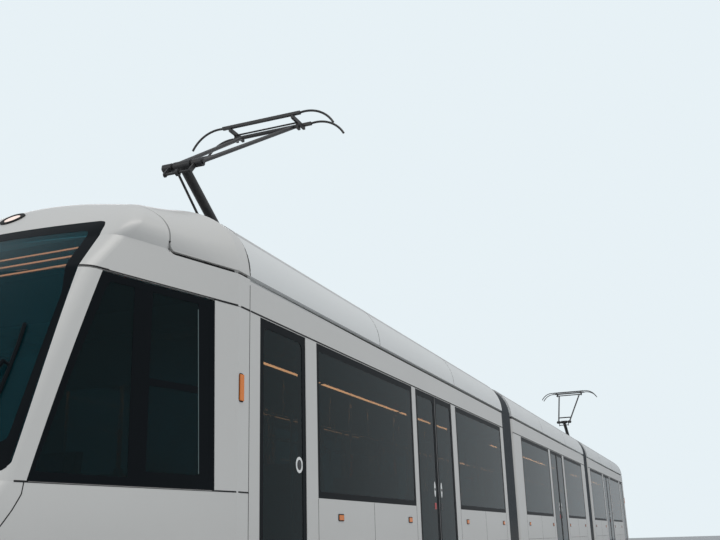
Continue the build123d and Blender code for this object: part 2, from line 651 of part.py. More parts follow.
def make_ladder(y_low, y_high):
    """Two rails with cross members under one stretch of low floor."""
    top = FLOOR - FLOOR_THICKNESS - SEAT_GAP
    heights = (LADDER_LOW, top)
    count = max(2, round((y_high - y_low) / LADDER_PITCH) + 1)
    half = LADDER_MEMBER / 2
    pitch = (y_high - y_low - LADDER_MEMBER) / (count - 1)
    ladder = None
    for index in range(count):
        y = y_low + half + index * pitch
        member = block((-LADDER_RAIL[1], LADDER_RAIL[1]), (y - half, y + half), heights)
        ladder = member if ladder is None else ladder + member
    for side in (-1, 1):
        ladder += block(sorted((side * LADDER_RAIL[0], side * LADDER_RAIL[1])), (y_low, y_high), heights)
    return ladder


def make_jack_pad(x, y):
    """Square pad under a ladder's rail for a lifting jack."""
    return block((x - 80.0, x + 80.0), (y - 80.0, y + 80.0), (JACK_PAD, LADDER_LOW + 20.0))


def make_bolster(centre):
    """Cross beam under the raised floor with the pin that the bogie turns on."""
    top = BOGIE_FLOOR - BOGIE_FLOOR_THICKNESS - SEAT_GAP
    beam = block((-BOLSTER_HALF, BOLSTER_HALF), (centre - BOLSTER_REACH, centre + BOLSTER_REACH), (BOLSTER_LOW, top))
    beam = chamfer(beam.edges().filter_by(Axis.Y).group_by(Axis.Z)[0], 30.0)
    return beam + upright(PIVOT_RADIUS, 0.0, centre, top - PIVOT_DEPTH, top - 5.0)


def make_hinge_half(end, upper):
    """One half of the gangway's hinge: the upper tongue with pin and plate, or the lower with the bore."""
    side = 1 if end > 0 else -1
    hinge = side * HINGE
    low, top = LADDER_LOW, FLOOR - FLOOR_THICKNESS - SEAT_GAP
    if upper:
        face = end - side * SEAT_GAP
        half = block((-TONGUE_HALF, TONGUE_HALF), sorted((hinge, face)), (300.0, FLOOR - 5.0))
        half += upright(TONGUE_HALF, 0.0, hinge, 300.0, FLOOR - 10.0)
        half += upright(HINGE_PLATE, 0.0, hinge, FLOOR - 12.0, FLOOR)
        half += block((-TONGUE_HALF, TONGUE_HALF), sorted((face - side * HINGE_KNEE, face)), (low, FLOOR - 5.0))
        half += block((-TONGUE_HALF, TONGUE_HALF), sorted((face - side * HINGE_KNEE, end + side * 60.0)), (low, top))
        return half + upright(HINGE_PIN, 0.0, hinge, 225.0, 305.0)
    lug = TONGUE_HALF - 60.0
    half = block((-lug, lug), sorted((hinge, end - side * 60.0)), (JACK_PAD, top))
    half += upright(lug, 0.0, hinge, JACK_PAD, top)
    return half - upright(HINGE_PIN + JOURNAL_PLAY, 0.0, hinge, 0.0, 500.0)


def make_underframe(y_low, y_high, bogies, hinges):
    """Ladders under the low floor with jacking pads and hinge halves, and a bolster over each bogie."""
    ladders = [make_ladder(start, end) for start, end in low_stretches(y_low, y_high, bogies)]
    pad_x = sum(LADDER_RAIL) / 2
    for centre in bogies:
        for end in (-1, 1):
            y = centre + end * (WHEEL_BOX_FAR + JACK_PAD_OFFSET)
            near = min(range(len(ladders)), key=lambda i: abs(ladders[i].bounding_box().center().Y - y)
                       - ladders[i].bounding_box().size.Y / 2)
            for side in (-1, 1):
                ladders[near] += make_jack_pad(side * pad_x, y)
    for end, upper in hinges:
        ladders[0 if end < y_low + 1.0 else -1] += make_hinge_half(end, upper)
    return ladders, [make_bolster(centre) for centre in bogies]


# Bogies

def make_wheelset(y):
    """Axle with two flanged wheels, turned from one profile of (x, radius)."""
    back = GAUGE / 2 - FLANGE_PLAY - RIM_FLANGE
    face = back + WHEEL_WIDTH
    web = (back + face) / 2
    rim = WHEEL_RADIUS - RIM_THICKNESS
    flange = WHEEL_RADIUS + FLANGE_HEIGHT
    half = (
        (back - 28.0, AXLE_RADIUS), (back - 28.0, HUB_RADIUS), (web - WEB_THICKNESS / 2, HUB_RADIUS),
        (web - WEB_THICKNESS / 2, rim), (back, rim), (back, flange - 8.0), (back + 9.0, flange),
        (back + 17.0, flange), (back + RIM_FLANGE, WHEEL_RADIUS + 2.0), (face - 6.0, WHEEL_RADIUS - 2.0),
        (face, WHEEL_RADIUS - 8.0), (face, rim), (web + WEB_THICKNESS / 2, rim), (web + WEB_THICKNESS / 2, HUB_RADIUS),
        (face + 12.0, HUB_RADIUS), (face + 12.0, AXLE_RADIUS), (BEAM_X[0] - 25.0, AXLE_RADIUS),
        (BEAM_X[0] - 25.0, JOURNAL_RADIUS), (BEAM_X[1] + 12.0, JOURNAL_RADIUS),
    )
    end = BEAM_X[1] + 12.0
    points = [(-end, 0.0)] + [(-x, r) for x, r in reversed(half)] + list(half) + [(end, 0.0)]
    profile = make_face(Polyline(*[(x, 0.0, r) for x, r in points], close=True))
    return Pos(0, y, lift(AXLE_HEIGHT)) * revolve(profile, axis=Axis.X)


def make_bogie(centre):
    """Frame of a bogie: side beams, axle boxes, transom, motors, springs and track brakes."""
    axle = WHEELBASE / 2
    half = (
        (axle + 190.0, BEAM_LOW + 95.0), (axle + 190.0, BEAM_END_TOP - 35.0), (axle - 160.0, BEAM_END_TOP),
        (480.0, BEAM_DROP_TOP),
    )
    low = ((480.0, BEAM_LOW), (axle - 150.0, BEAM_LOW + 75.0))
    points = list(half) + [(-y, h) for y, h in reversed(half)] + [(-y, h) for y, h in reversed(low)] + list(low)
    beam = side_profile(points, *BEAM_X)
    for end in (-axle, axle):
        beam += across(AXLE_BOX_RADIUS, BEAM_X[0], BEAM_X[1], end, AXLE_HEIGHT)
    spring_top = BOGIE_FLOOR - BOGIE_FLOOR_THICKNESS - SEAT_GAP
    beam += upright(SPRING_RADIUS, sum(BEAM_X) / 2, 0.0, BEAM_DROP_TOP - 5.0, spring_top)
    frame = block((-BEAM_X[0] - 5.0, BEAM_X[0] + 5.0), (-TRANSOM_HALF, TRANSOM_HALF), TRANSOM_HEIGHTS)
    frame += beam
    frame += mirror(beam, about=Plane.YZ)
    motor_height = TRANSOM_HEIGHTS[0] + MOTOR_RADIUS
    for side in (-1, 1):
        y = side * MOTOR_OFFSET
        frame += across(MOTOR_RADIUS, -MOTOR_HALF, MOTOR_HALF, y, motor_height)
        span = sorted((side * (TRANSOM_HALF - 5.0), y))
        frame += block((-MOTOR_HALF * 0.5, MOTOR_HALF * 0.5), span, (TRANSOM_HEIGHTS[0] + 40.0, TRANSOM_HEIGHTS[1] - 40.0))
        x = side * GAUGE / 2
        width, height = TRACK_BRAKE_SIZE
        shoe = block((x - width / 2, x + width / 2), (-TRACK_BRAKE_HALF, TRACK_BRAKE_HALF),
                     (TRACK_BRAKE_GAP, TRACK_BRAKE_GAP + height))
        frame += shoe
        for end in (-1, 1):
            y = end * TRANSOM_HALF * 0.7
            frame += block((x - 16.0, x + 16.0), (y - 30.0, y + 30.0), (TRACK_BRAKE_GAP + height - 5.0, TRANSOM_HEIGHTS[0] + 5.0))
    for end in (-axle, axle):
        frame -= across(JOURNAL_RADIUS + JOURNAL_PLAY, -BEAM_X[1] - 50.0, BEAM_X[1] + 50.0, end, AXLE_HEIGHT)
    frame -= upright(PIVOT_RADIUS + JOURNAL_PLAY, 0.0, 0.0, 0.0, BOGIE_FLOOR)
    return Pos(0, centre, 0) * frame


# Seats and poles

def seat_pair(x_low, x_high, y, facing, base, floor):
    """Two seats side by side on a plinth; facing is the way they look along the tram."""
    cushion = 450.0
    back = 80.0
    rise = 640.0
    top = max(base + 90.0, floor + 440.0)
    points = ((y, base), (y + facing * cushion, base), (y + facing * cushion, top - 60.0),
              (y + facing * (cushion + 20.0), top), (y + facing * 20.0, top), (y - facing * 70.0, top + rise),
              (y - facing * (70.0 + back), top + rise), (y - facing * 30.0, base))
    return side_profile(points, x_low, x_high)


def make_seats(bays):
    """Facing pairs of double seats in each bay, both sides: (centre, height that they stand on, floor)."""
    seats = []
    for centre, base, floor in bays:
        for facing in (-1, 1):
            y = centre - facing * (WHEEL_BOX_NEAR + 455.0)
            seats.append(seat_pair(WHEEL_BOX_INNER + 15.0, INNER_HALF - 30.0, y, facing, base + SEAT_GAP, floor))
    return both_sides(seats)


def make_poles(places, floors):
    """Upright grab poles between the floor and the ceiling: (y, x) places and the floor's height."""
    poles = []
    for (y, x), floor in zip(places, floors):
        poles.append(upright(POLE_RADIUS, x, y, floor + SEAT_GAP, CEILING - SEAT_GAP))
    return both_sides(poles)


def make_cab_fittings():
    """Partition behind the driver in three panels, the desk and the driver's seat."""
    y = (-SEAM + 60.0, -SEAM + 100.0)
    fittings = both_sides(block((330.0, FLOOR_HALF - 1.0), y, (FLOOR + SEAT_GAP, CEILING - 40.0)))
    fittings += solids_of(block((-329.0, 329.0), y, (2050.0, CEILING - SEAT_GAP)))
    desk = ((-SEAM - 1250.0, FLOOR + SEAT_GAP), (-SEAM - 1250.0, 980.0), (-SEAM - 1150.0, 1060.0),
            (-SEAM - 1500.0, 1130.0), (-SEAM - 1760.0, 1090.0), (-SEAM - 1760.0, FLOOR + SEAT_GAP))
    fittings += solids_of(side_profile(desk, -720.0, 720.0))
    seat = seat_pair(-240.0, 240.0, -SEAM - 560.0, -1, FLOOR + SEAT_GAP, FLOOR + 60.0)
    return fittings + solids_of(seat)


def make_bellows(y_low, y_high):
    """Folded gangway tube with an open middle."""
    arch = [(BODY_HALF - x_in, h) for x_in, h in BELLOWS_ARCH]
    outline = arch + [(-x, h) for x, h in reversed(arch)]
    half = BODY_HALF - BELLOWS_WALL
    inner = ((half, 200.0), (half, BELLOWS_TOP), (-half, BELLOWS_TOP), (-half, 200.0))
    length = y_high - y_low
    pitch = length / BELLOWS_FOLDS
    body = None
    for index in range(BELLOWS_FOLDS):
        start = y_low + index * pitch
        ring = cross_profile(outline, start, start + pitch * 0.62)
        neck = cross_profile([(x * 0.965, 300.0 + (h - 300.0) * 0.985) for x, h in outline], start + pitch * 0.5, start + pitch)
        body = ring + neck if body is None else body + ring + neck
    return body - cross_profile(inner, y_low - 10.0, y_high + 10.0)


# Pantographs

def tube(start, end, radius):
    """Round bar between two points."""
    a, b = Vector(*start), Vector(*end)
    axis = b - a
    plane = Plane(origin=a, z_dir=axis)
    return plane * Pos(0, 0, axis.length / 2) * Cylinder(radius, axis.length)


PANTO_FOOT = (3390.0, 1670.0, 33.8)          # pivot height, lower arm's length, its angle
PANTO_UPPER = (2040.0, 32.6)                 # upper arm's length and angle
PANTO_SHAFT = 45.0
PANTO_KNEE_HALF = 190.0
PANTO_HEAD_HALF = 340.0
PANTO_FEET_HALF = 420.0
GUIDE_ROD_FOOT = (300.0, 120.0)              # ahead of the lower arm's foot, and below it
GUIDE_ROD_LEVER = (140.0, 230.0)             # lever on the upper arm: its length and angle
ROD_PIN = 12.0
ROD_EYE_PLAY = 8.0
INSULATOR_RADIUS = 45.0
INSULATOR_SHED = 78.0
INSULATOR_SHEDS = 5


def panto_points(foot_y):
    """Foot pivot, knee and head pivot, as (y, height)."""
    pivot, length, angle = PANTO_FOOT
    a = math.radians(angle)
    knee = (foot_y - length * math.cos(a), pivot + length * math.sin(a))
    length, angle = PANTO_UPPER
    b = math.radians(angle)
    head = (knee[0] + length * math.cos(b), knee[1] + length * math.sin(b))
    return (foot_y, pivot), knee, head


def make_insulator(x, y, top):
    """Post on the roof deck with a stack of sheds."""
    post = upright(INSULATOR_RADIUS, x, y, FAIRING_LOW, top)
    pitch = (top - FAIRING_LOW - 40.0) / INSULATOR_SHEDS
    for index in range(INSULATOR_SHEDS):
        low = FAIRING_LOW + 30.0 + index * pitch
        post += upright(INSULATOR_SHED, x, y, low, low + pitch * 0.4)
    return post


def make_panto_base(foot_y):
    """Base frame on four insulators, with the bearings of the lower arm."""
    foot, knee, head = panto_points(foot_y)
    y_low, y_high = foot_y - 1250.0, foot_y + 250.0
    rail_low, rail_high = foot[1] - 130.0, foot[1] - 60.0
    base = None
    for side in (-1, 1):
        x = side * PANTO_FEET_HALF
        rail = block((x - 35.0, x + 35.0), (y_low, y_high), (rail_low, rail_high))
        base = rail if base is None else base + rail
        for y in (y_low + 60.0, y_high - 60.0):
            base += make_insulator(x, y, rail_low + 5.0)
        bearing = block((x - 25.0, x + 25.0), (foot_y - 60.0, foot_y + 60.0), (rail_high - 5.0, foot[1] + 60.0))
        base += bearing
    for y in (y_low, y_high - 70.0):
        base += block((-PANTO_FEET_HALF, PANTO_FEET_HALF), (y, y + 70.0), (rail_low, rail_high))
    low, _ = rod_points(foot_y)
    base += block((-PANTO_FEET_HALF, PANTO_FEET_HALF), (low[0] + 40.0, low[0] + 100.0), (rail_low, rail_high))
    for side in (-1, 1):
        x = side * 24.0
        base += block((x - 8.0, x + 8.0), (low[0] - 26.0, low[0] + 60.0), (low[1] - 26.0, low[1] + 26.0))
    base += across(ROD_PIN, -24.0, 24.0, *low)
    base -= across(30.0 + JOURNAL_PLAY, -PANTO_FEET_HALF - 60.0, PANTO_FEET_HALF + 60.0, foot[0], foot[1])
    return base


def make_lower_arm(foot_y):
    """Thick lower arm with its shaft, and the knee's cross tube."""
    foot, knee, head = panto_points(foot_y)
    z = [lift(point[1]) for point in (foot, knee, head)]
    arm = across(30.0, -PANTO_FEET_HALF - 40.0, PANTO_FEET_HALF + 40.0, foot[0], foot[1])
    arm += across(58.0, -330.0, 330.0, foot[0], foot[1])
    arm += tube((0, foot[0], z[0]), (0, knee[0], z[1]), 48.0)
    arm += across(44.0, -90.0, 90.0, knee[0], knee[1])
    arm += across(22.0, -PANTO_KNEE_HALF - 40.0, PANTO_KNEE_HALF + 40.0, knee[0], knee[1])
    return arm


def make_upper_arm(foot_y):
    """Two tubes that spread from the knee to the head, with a brace between them."""
    foot, knee, head = panto_points(foot_y)
    arm = None
    for side in (-1, 1):
        a = (side * (PANTO_KNEE_HALF - 20.0), knee[0], lift(knee[1]))
        b = (side * PANTO_HEAD_HALF, head[0], lift(head[1]))
        bar = tube(a, b, 22.0)
        bar += across(42.0, min(side * 115.0, side * 215.0), max(side * 115.0, side * 215.0), knee[0], knee[1])
        arm = bar if arm is None else arm + bar
    share = 0.16
    y = knee[0] + (head[0] - knee[0]) * share
    h = knee[1] + (head[1] - knee[1]) * share
    half = PANTO_KNEE_HALF - 20.0 + (PANTO_HEAD_HALF - PANTO_KNEE_HALF + 20.0) * share
    arm += across(18.0, -half, half, y, h)
    arm += across(16.0, -PANTO_HEAD_HALF - 90.0, PANTO_HEAD_HALF + 90.0, head[0], head[1])
    low, pin = rod_points(foot_y)
    for side in (-1, 1):
        plane = Plane(origin=(side * 140.0, knee[0], lift(knee[1])), x_dir=(0, pin[0] - knee[0], pin[1] - knee[1]),
                      z_dir=(1, 0, 0))
        arm += plane * Pos(GUIDE_ROD_LEVER[0] / 2, 0, 0) * Box(GUIDE_ROD_LEVER[0], 46.0, 16.0)
        arm += across(24.0, side * 140.0 - 8.0, side * 140.0 + 8.0, *pin)
    arm += across(ROD_PIN, -145.0, 145.0, *pin)
    arm -= across(22.0 + JOURNAL_PLAY, -300.0, 300.0, knee[0], knee[1])
    return arm


def make_head(foot_y):
    """Two contact strips with down-turned horns on a pair of cradles."""
    foot, knee, head = panto_points(foot_y)
    base = head[1] + 70.0
    strip_half = 500.0
    solid = None
    for offset in (-150.0, 150.0):
        y = head[0] + offset
        straight = block((-strip_half, strip_half), (y - 20.0, y + 20.0), (base, base + 32.0))
        solid = straight if solid is None else solid + straight
        for side in (-1, 1):
            start = (side * (strip_half - 10.0), y, lift(base + 14.0))
            curve = ThreePointArc(start, (side * 760.0, y, lift(base - 40.0)), (side * 900.0, y, lift(base - 190.0)))
            plane = Plane(origin=start, z_dir=curve % 0)
            solid += sweep(plane * Circle(13.0), path=curve)
    for side in (-1, 1):
        x = side * (PANTO_HEAD_HALF + 60.0)
        solid += block((x - 14.0, x + 14.0), (head[0] - 165.0, head[0] + 165.0), (base - 40.0, base + 5.0))
        solid += block((x - 14.0, x + 14.0), (head[0] - 34.0, head[0] + 34.0), (head[1] - 34.0, base - 30.0))
    solid += across(10.0, -PANTO_HEAD_HALF - 60.0, PANTO_HEAD_HALF + 60.0, head[0], base - 20.0)
    solid -= across(16.0 + JOURNAL_PLAY, -500.0, 500.0, head[0], head[1])
    return solid


def rod_points(foot_y):
    """Lower pivot of the guide rod and the pin on the upper arm's lever, as (y, height)."""
    foot, knee, head = panto_points(foot_y)
    back, drop = GUIDE_ROD_FOOT
    reach, angle = GUIDE_ROD_LEVER
    a = math.radians(angle)
    pin = (knee[0] + reach * math.cos(a), knee[1] + reach * math.sin(a))
    return (foot[0] - back, foot[1] - drop), pin


def make_guide_rod(foot_y):
    """Thin rod ahead of the lower arm, with an eye at each end."""
    low, pin = rod_points(foot_y)
    a, b = (0, low[0], lift(low[1])), (0, pin[0], lift(pin[1]))
    rod = tube(a, b, 12.0)
    rod += across(28.0, -14.0, 14.0, *low) + across(34.0, -14.0, 14.0, *pin)
    rod -= across(ROD_PIN + JOURNAL_PLAY, -60.0, 60.0, *low)
    rod -= across(ROD_PIN + ROD_EYE_PLAY, -60.0, 60.0, *pin)
    return rod


# The whole tram

def make_end_module(name, side, cab):
    """Pieces of an end module, drawn in front and turned half round for the rear."""
    mask, windscreen, cab_panes, cab_lamps = cab
    place = solids_of if side < 0 else turned
    span = (-SEAM + SEAT_GAP, -END_MODULE_END)
    apertures = [(kind, -end, -start) for kind, start, end in reversed(END_APERTURES)]
    save(f"{name}_cab_mask", place(mask))
    save(f"{name}_windscreen", place(windscreen))
    save(f"{name}_lamps", place(cab_lamps + make_markers([-y for y in END_MARKERS])))
    save(f"{name}_side_walls", place(make_side_walls(*span, apertures, [-END_MODULE_END])))
    save(f"{name}_roof", place(make_roof(*span, -END_MODULE_END, END_ROOF_BOXES)))
    frames, door_panes = make_doors(apertures)
    save(f"{name}_doors", place(frames))
    save(f"{name}_windows", place(make_windows(apertures) + door_panes + cab_panes))
    save(f"{name}_floor", place(make_floor(*span, [-END_BOGIE]) + solids_of(make_cab_floor())))
    ladders, bolsters = make_underframe(*span, [-END_BOGIE], [(-END_MODULE_END, True)])
    ladders[0] += make_cab_frame()
    save(f"{name}_underframe", place(ladders + bolsters + [make_tow_socket()]))
    bays = ((-END_BOGIE, WHEEL_BOX_TOP, BOGIE_FLOOR), (-sum(INNER_WINDOW) / 2, FLOOR, FLOOR))
    save(f"{name}_seats", place(make_seats(bays)))
    save(f"{name}_fittings", place(make_cab_fittings() + make_poles(END_POLES, [FLOOR] * len(END_POLES))))


def make_middle_module():
    """Pieces of the middle module."""
    span = (-MIDDLE_MODULE_END, MIDDLE_MODULE_END)
    save("middle_side_walls", make_side_walls(*span, MIDDLE_APERTURES, list(span)))
    save("middle_roof", make_roof(*span, span[0], MIDDLE_ROOF_BOXES))
    frames, door_panes = make_doors(MIDDLE_APERTURES)
    save("middle_doors", frames)
    save("middle_windows", make_windows(MIDDLE_APERTURES) + door_panes)
    bogies = [-MIDDLE_BOGIE, MIDDLE_BOGIE]
    save("middle_floor", make_floor(*span, bogies))
    ladders, bolsters = make_underframe(*span, bogies, [(end, False) for end in span])
    save("middle_underframe", ladders + bolsters)
    bays = ((-MIDDLE_BOGIE, WHEEL_BOX_TOP, BOGIE_FLOOR), (MIDDLE_BOGIE, WHEEL_BOX_TOP, BOGIE_FLOOR))
    save("middle_seats", make_seats(bays))
    save("middle_fittings", make_poles(MIDDLE_POLES, [FLOOR] * len(MIDDLE_POLES)))
    save("middle_lamps", make_markers([-y for y in MIDDLE_MARKERS] + list(MIDDLE_MARKERS)))


def main():
    """Write every piece of the tram."""
    cab = make_cab()
    for name, side in (("front", -1), ("rear", 1)):
        make_end_module(name, side, cab)
        span = sorted((side * MIDDLE_MODULE_END, side * END_MODULE_END))
        save(f"{name}_bellows", make_bellows(span[0] + SEAT_GAP, span[1] - SEAT_GAP))
    make_middle_module()
    for name, centre in BOGIES:
        save(f"{name}_bogie", make_bogie(centre))
        for end, offset in (("leading", -WHEELBASE / 2), ("trailing", WHEELBASE / 2)):
            save(f"{name}_{end}_wheelset", make_wheelset(centre + offset))
    for name, foot_y in PANTOGRAPHS:
        save(f"{name}_pantograph_base", make_panto_base(foot_y))
        save(f"{name}_pantograph_lower_arm", make_lower_arm(foot_y))
        save(f"{name}_pantograph_guide_rod", make_guide_rod(foot_y))
        save(f"{name}_pantograph_upper_arm", make_upper_arm(foot_y))
        save(f"{name}_pantograph_head", make_head(foot_y))


main()
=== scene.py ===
# %% [markdown]
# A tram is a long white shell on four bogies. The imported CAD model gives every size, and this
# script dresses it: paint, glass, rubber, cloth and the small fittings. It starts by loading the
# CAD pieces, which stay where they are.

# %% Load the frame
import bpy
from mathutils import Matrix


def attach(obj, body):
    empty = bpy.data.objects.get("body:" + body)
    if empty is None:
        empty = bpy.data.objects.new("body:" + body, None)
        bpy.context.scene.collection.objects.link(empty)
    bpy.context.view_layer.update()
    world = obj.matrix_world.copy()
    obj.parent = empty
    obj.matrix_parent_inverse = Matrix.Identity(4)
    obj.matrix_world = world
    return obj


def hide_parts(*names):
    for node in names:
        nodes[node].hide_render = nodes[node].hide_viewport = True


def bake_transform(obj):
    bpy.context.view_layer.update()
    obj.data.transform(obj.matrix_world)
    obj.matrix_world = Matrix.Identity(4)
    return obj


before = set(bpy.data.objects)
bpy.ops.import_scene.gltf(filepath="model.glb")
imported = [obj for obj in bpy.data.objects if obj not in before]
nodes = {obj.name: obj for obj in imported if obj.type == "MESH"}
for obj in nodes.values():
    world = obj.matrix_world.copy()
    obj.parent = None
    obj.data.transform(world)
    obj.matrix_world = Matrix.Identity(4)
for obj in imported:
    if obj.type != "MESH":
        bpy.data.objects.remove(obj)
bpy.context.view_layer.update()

import bmesh
import bpy
import math
from mathutils import Matrix, Vector
from mathutils.bvhtree import BVHTree

RAIL = 0.025                 # height of the wheels' treads above the flanges' tips
HALF = 1.325                 # half the body's width
SILL, GLASS_TOP = 1.195 + RAIL, 2.470 + RAIL
FLOOR = 0.360 + RAIL
CEILING = 2.400 + RAIL
SEAM = 13.080                # where the cab mask meets the side walls

# %% [markdown]
# The photograph was taken from low down at the side, a little ahead of the nose, with a
# camera that looks up along the whole tram. The lens and the camera's three directions were
# found from the body's straight edges, and they are written here as plain numbers.

# %% Camera
camera_data = bpy.data.cameras.new("camera")
camera_data.sensor_width = 36.0
camera_data.lens = 44.14
camera_data.clip_start = 0.05
camera_data.clip_end = 300.0
camera = bpy.data.objects.new("camera", camera_data)
bpy.context.scene.collection.objects.link(camera)
right = Vector((0.92929, 0.36825, -0.02840))
up = Vector((0.13333, -0.26275, 0.95561))
back = Vector((0.34444, -0.89183, -0.29327))
eye = Vector((4.325, -18.6, 0.882))
camera.matrix_world = Matrix((
    (right.x, up.x, back.x, eye.x),
    (right.y, up.y, back.y, eye.y),
    (right.z, up.z, back.z, eye.z),
    (0.0, 0.0, 0.0, 1.0)))
bpy.context.scene.camera = camera
print("camera at", camera.matrix_world.translation)

# %% [markdown]
# The light is a plain studio: a pale world, one broad soft lamp high above the side that the
# photograph shows, a weaker one from behind and a third for the nose. The floor is pale and
# catches the shadow. Rays that look at the background, also through glass, see a paler world
# than the one that lights.

# %% Light, world and floor
scene = bpy.context.scene
scene.view_settings.view_transform = "Standard"
world = bpy.data.worlds.new("studio")
scene.world = world
world.use_nodes = True
tree = world.node_tree
tree.nodes.clear()
path = tree.nodes.new("ShaderNodeLightPath")
seen = tree.nodes.new("ShaderNodeMath")
seen.operation = "MAXIMUM"
tree.links.new(path.outputs["Is Camera Ray"], seen.inputs[0])
tree.links.new(path.outputs["Is Transmission Ray"], seen.inputs[1])
light = tree.nodes.new("ShaderNodeBackground")
light.inputs["Color"].default_value = (0.87, 0.92, 0.96, 1.0)
light.inputs["Strength"].default_value = 0.60
pale = tree.nodes.new("ShaderNodeBackground")
pale.inputs["Color"].default_value = (0.80, 0.88, 0.92, 1.0)
pale.inputs["Strength"].default_value = 1.0
mix = tree.nodes.new("ShaderNodeMixShader")
tree.links.new(seen.outputs[0], mix.inputs[0])
tree.links.new(light.outputs[0], mix.inputs[1])
tree.links.new(pale.outputs[0], mix.inputs[2])
out = tree.nodes.new("ShaderNodeOutputWorld")
tree.links.new(mix.outputs[0], out.inputs["Surface"])


def area_lamp(name, place, target, size, power, colour):
    """Broad soft lamp that looks at a target."""
    data = bpy.data.lights.new(name, "AREA")
    data.shape = "RECTANGLE"
    data.size, data.size_y = size
    data.energy = power
    data.color = colour
    lamp = bpy.data.objects.new(name, data)
    scene.collection.objects.link(lamp)
    lamp.location = place
    lamp.rotation_euler = (Vector(target) - Vector(place)).to_track_quat("-Z", "Y").to_euler()


area_lamp("side_light", (13.0, -12.0, 25.0), (0.0, -2.0, 2.4), (28.0, 12.0), 2850.0,
          (1.0, 0.96, 0.91))
area_lamp("back_light", (-20.0, 16.0, 16.0), (0.0, 0.0, 2.0), (22.0, 10.0), 1200.0,
          (0.95, 0.97, 1.0))
area_lamp("nose_light", (-6.0, -32.0, 12.0), (0.0, -13.0, 1.8), (10.0, 8.0), 700.0,
          (1.0, 0.97, 0.93))

FLOOR_REACH = 150
floor_mesh = bpy.data.meshes.new("studio_floor")
floor_corners = [(x * FLOOR_REACH, y * FLOOR_REACH, 0) for x, y in ((-1, -1), (1, -1), (1, 1), (-1, 1))]
floor_mesh.from_pydata(floor_corners, [], [(0, 1, 2, 3)])
studio_floor = bpy.data.objects.new("studio_floor", floor_mesh)
scene.collection.objects.link(studio_floor)
floor_material = bpy.data.materials.new("pale_floor")
floor_material.use_nodes = True
floor_shader = floor_material.node_tree.nodes["Principled BSDF"]
floor_shader.inputs["Base Color"].default_value = (0.62, 0.63, 0.64, 1.0)
floor_shader.inputs["Roughness"].default_value = 0.85
floor_mesh.materials.append(floor_material)

# %% [markdown]
# Paint, glass and metal share a few effects: dust that thickens towards the ground, the fine
# waviness of sprayed paint, and a slow change of tone. Each effect is one shader group with
# named inputs, so that every material can place it with its own values.

# %% Shader groups
def new_group(name, inputs, outputs):
    """Empty shader group with its sockets, and its input and output nodes."""
    group = bpy.data.node_groups.new(name, "ShaderNodeTree")
    for label, kind, value in inputs:
        socket = group.interface.new_socket(name=label, in_out="INPUT", socket_type=kind)
        socket.default_value = value
    for label, kind in outputs:
        group.interface.new_socket(name=label, in_out="OUTPUT", socket_type=kind)
    return group, group.nodes.new("NodeGroupInput"), group.nodes.new("NodeGroupOutput")


def math_node(tree, operation, a, b=None, clamp=False):
    """Math node whose inputs are sockets or numbers."""
    node = tree.nodes.new("ShaderNodeMath")
    node.operation = operation
    node.use_clamp = clamp
    for index, value in enumerate((a, b)):
        if value is None:
            continue
        if isinstance(value, (int, float)):
            node.inputs[index].default_value = value
        else:
            tree.links.new(value, node.inputs[index])
    return node.outputs[0]


def colour_mix(tree, factor, a, b):
    """Mix of two colours, each a socket or a tuple."""
    node = tree.nodes.new("ShaderNodeMix")
    node.data_type = "RGBA"
    sockets = (node.inputs[0], node.inputs[6], node.inputs[7])
    for socket, value in zip(sockets, (factor, a, b)):
        if isinstance(value, (tuple, float, int)):
            socket.default_value = value
        else:
            tree.links.new(value, socket)
    return node.outputs[2]


def noise(tree, scale, detail):
    """Noise in Object coordinates."""
    node = tree.nodes.new("ShaderNodeTexNoise")
    node.inputs["Detail"].default_value = detail
    if isinstance(scale, (int, float)):
        node.inputs["Scale"].default_value = scale
    else:
        tree.links.new(scale, node.inputs["Scale"])
    place = tree.nodes.new("ShaderNodeTexCoord").outputs["Object"]
    tree.links.new(place, node.inputs["Vector"])
    return node.outputs["Fac"]


# Dust: a mask that is 1 near the ground and fades to 0 at Height, broken up by noise
dust, given, wanted = new_group("low_dust", (
    ("Color", "NodeSocketColor", (0.8, 0.8, 0.8, 1.0)),
    ("Dust Color", "NodeSocketColor", (0.28, 0.25, 0.21, 1.0)),
    ("Height", "NodeSocketFloat", 0.8), ("Amount", "NodeSocketFloat", 0.35),
    ("Roughness", "NodeSocketFloat", 0.3)),
    (("Color", "NodeSocketColor"), ("Roughness", "NodeSocketFloat")))
spread = dust.nodes.new("ShaderNodeSeparateXYZ")
dust.links.new(dust.nodes.new("ShaderNodeTexCoord").outputs["Object"], spread.inputs[0])
fade = math_node(dust, "DIVIDE", spread.outputs["Z"], given.outputs["Height"])
fade = math_node(dust, "SUBTRACT", 1.0, fade, clamp=True)
cloud = math_node(dust, "MULTIPLY", noise(dust, 2.3, 6.0), 1.5)
speckle = math_node(dust, "MULTIPLY", noise(dust, 35.0, 4.0), 0.6)
cloud = math_node(dust, "ADD", cloud, math_node(dust, "SUBTRACT", speckle, 0.45))
dirt = math_node(dust, "MULTIPLY", fade, cloud)
dirt = math_node(dust, "MULTIPLY", dirt, given.outputs["Amount"], clamp=True)
soiled = colour_mix(dust, dirt, given.outputs["Color"], given.outputs["Dust Color"])
dust.links.new(soiled, wanted.inputs["Color"])
dulled = math_node(dust, "MULTIPLY", dirt, 0.5)
dulled = math_node(dust, "ADD", given.outputs["Roughness"], dulled, clamp=True)
dust.links.new(dulled, wanted.inputs["Roughness"])

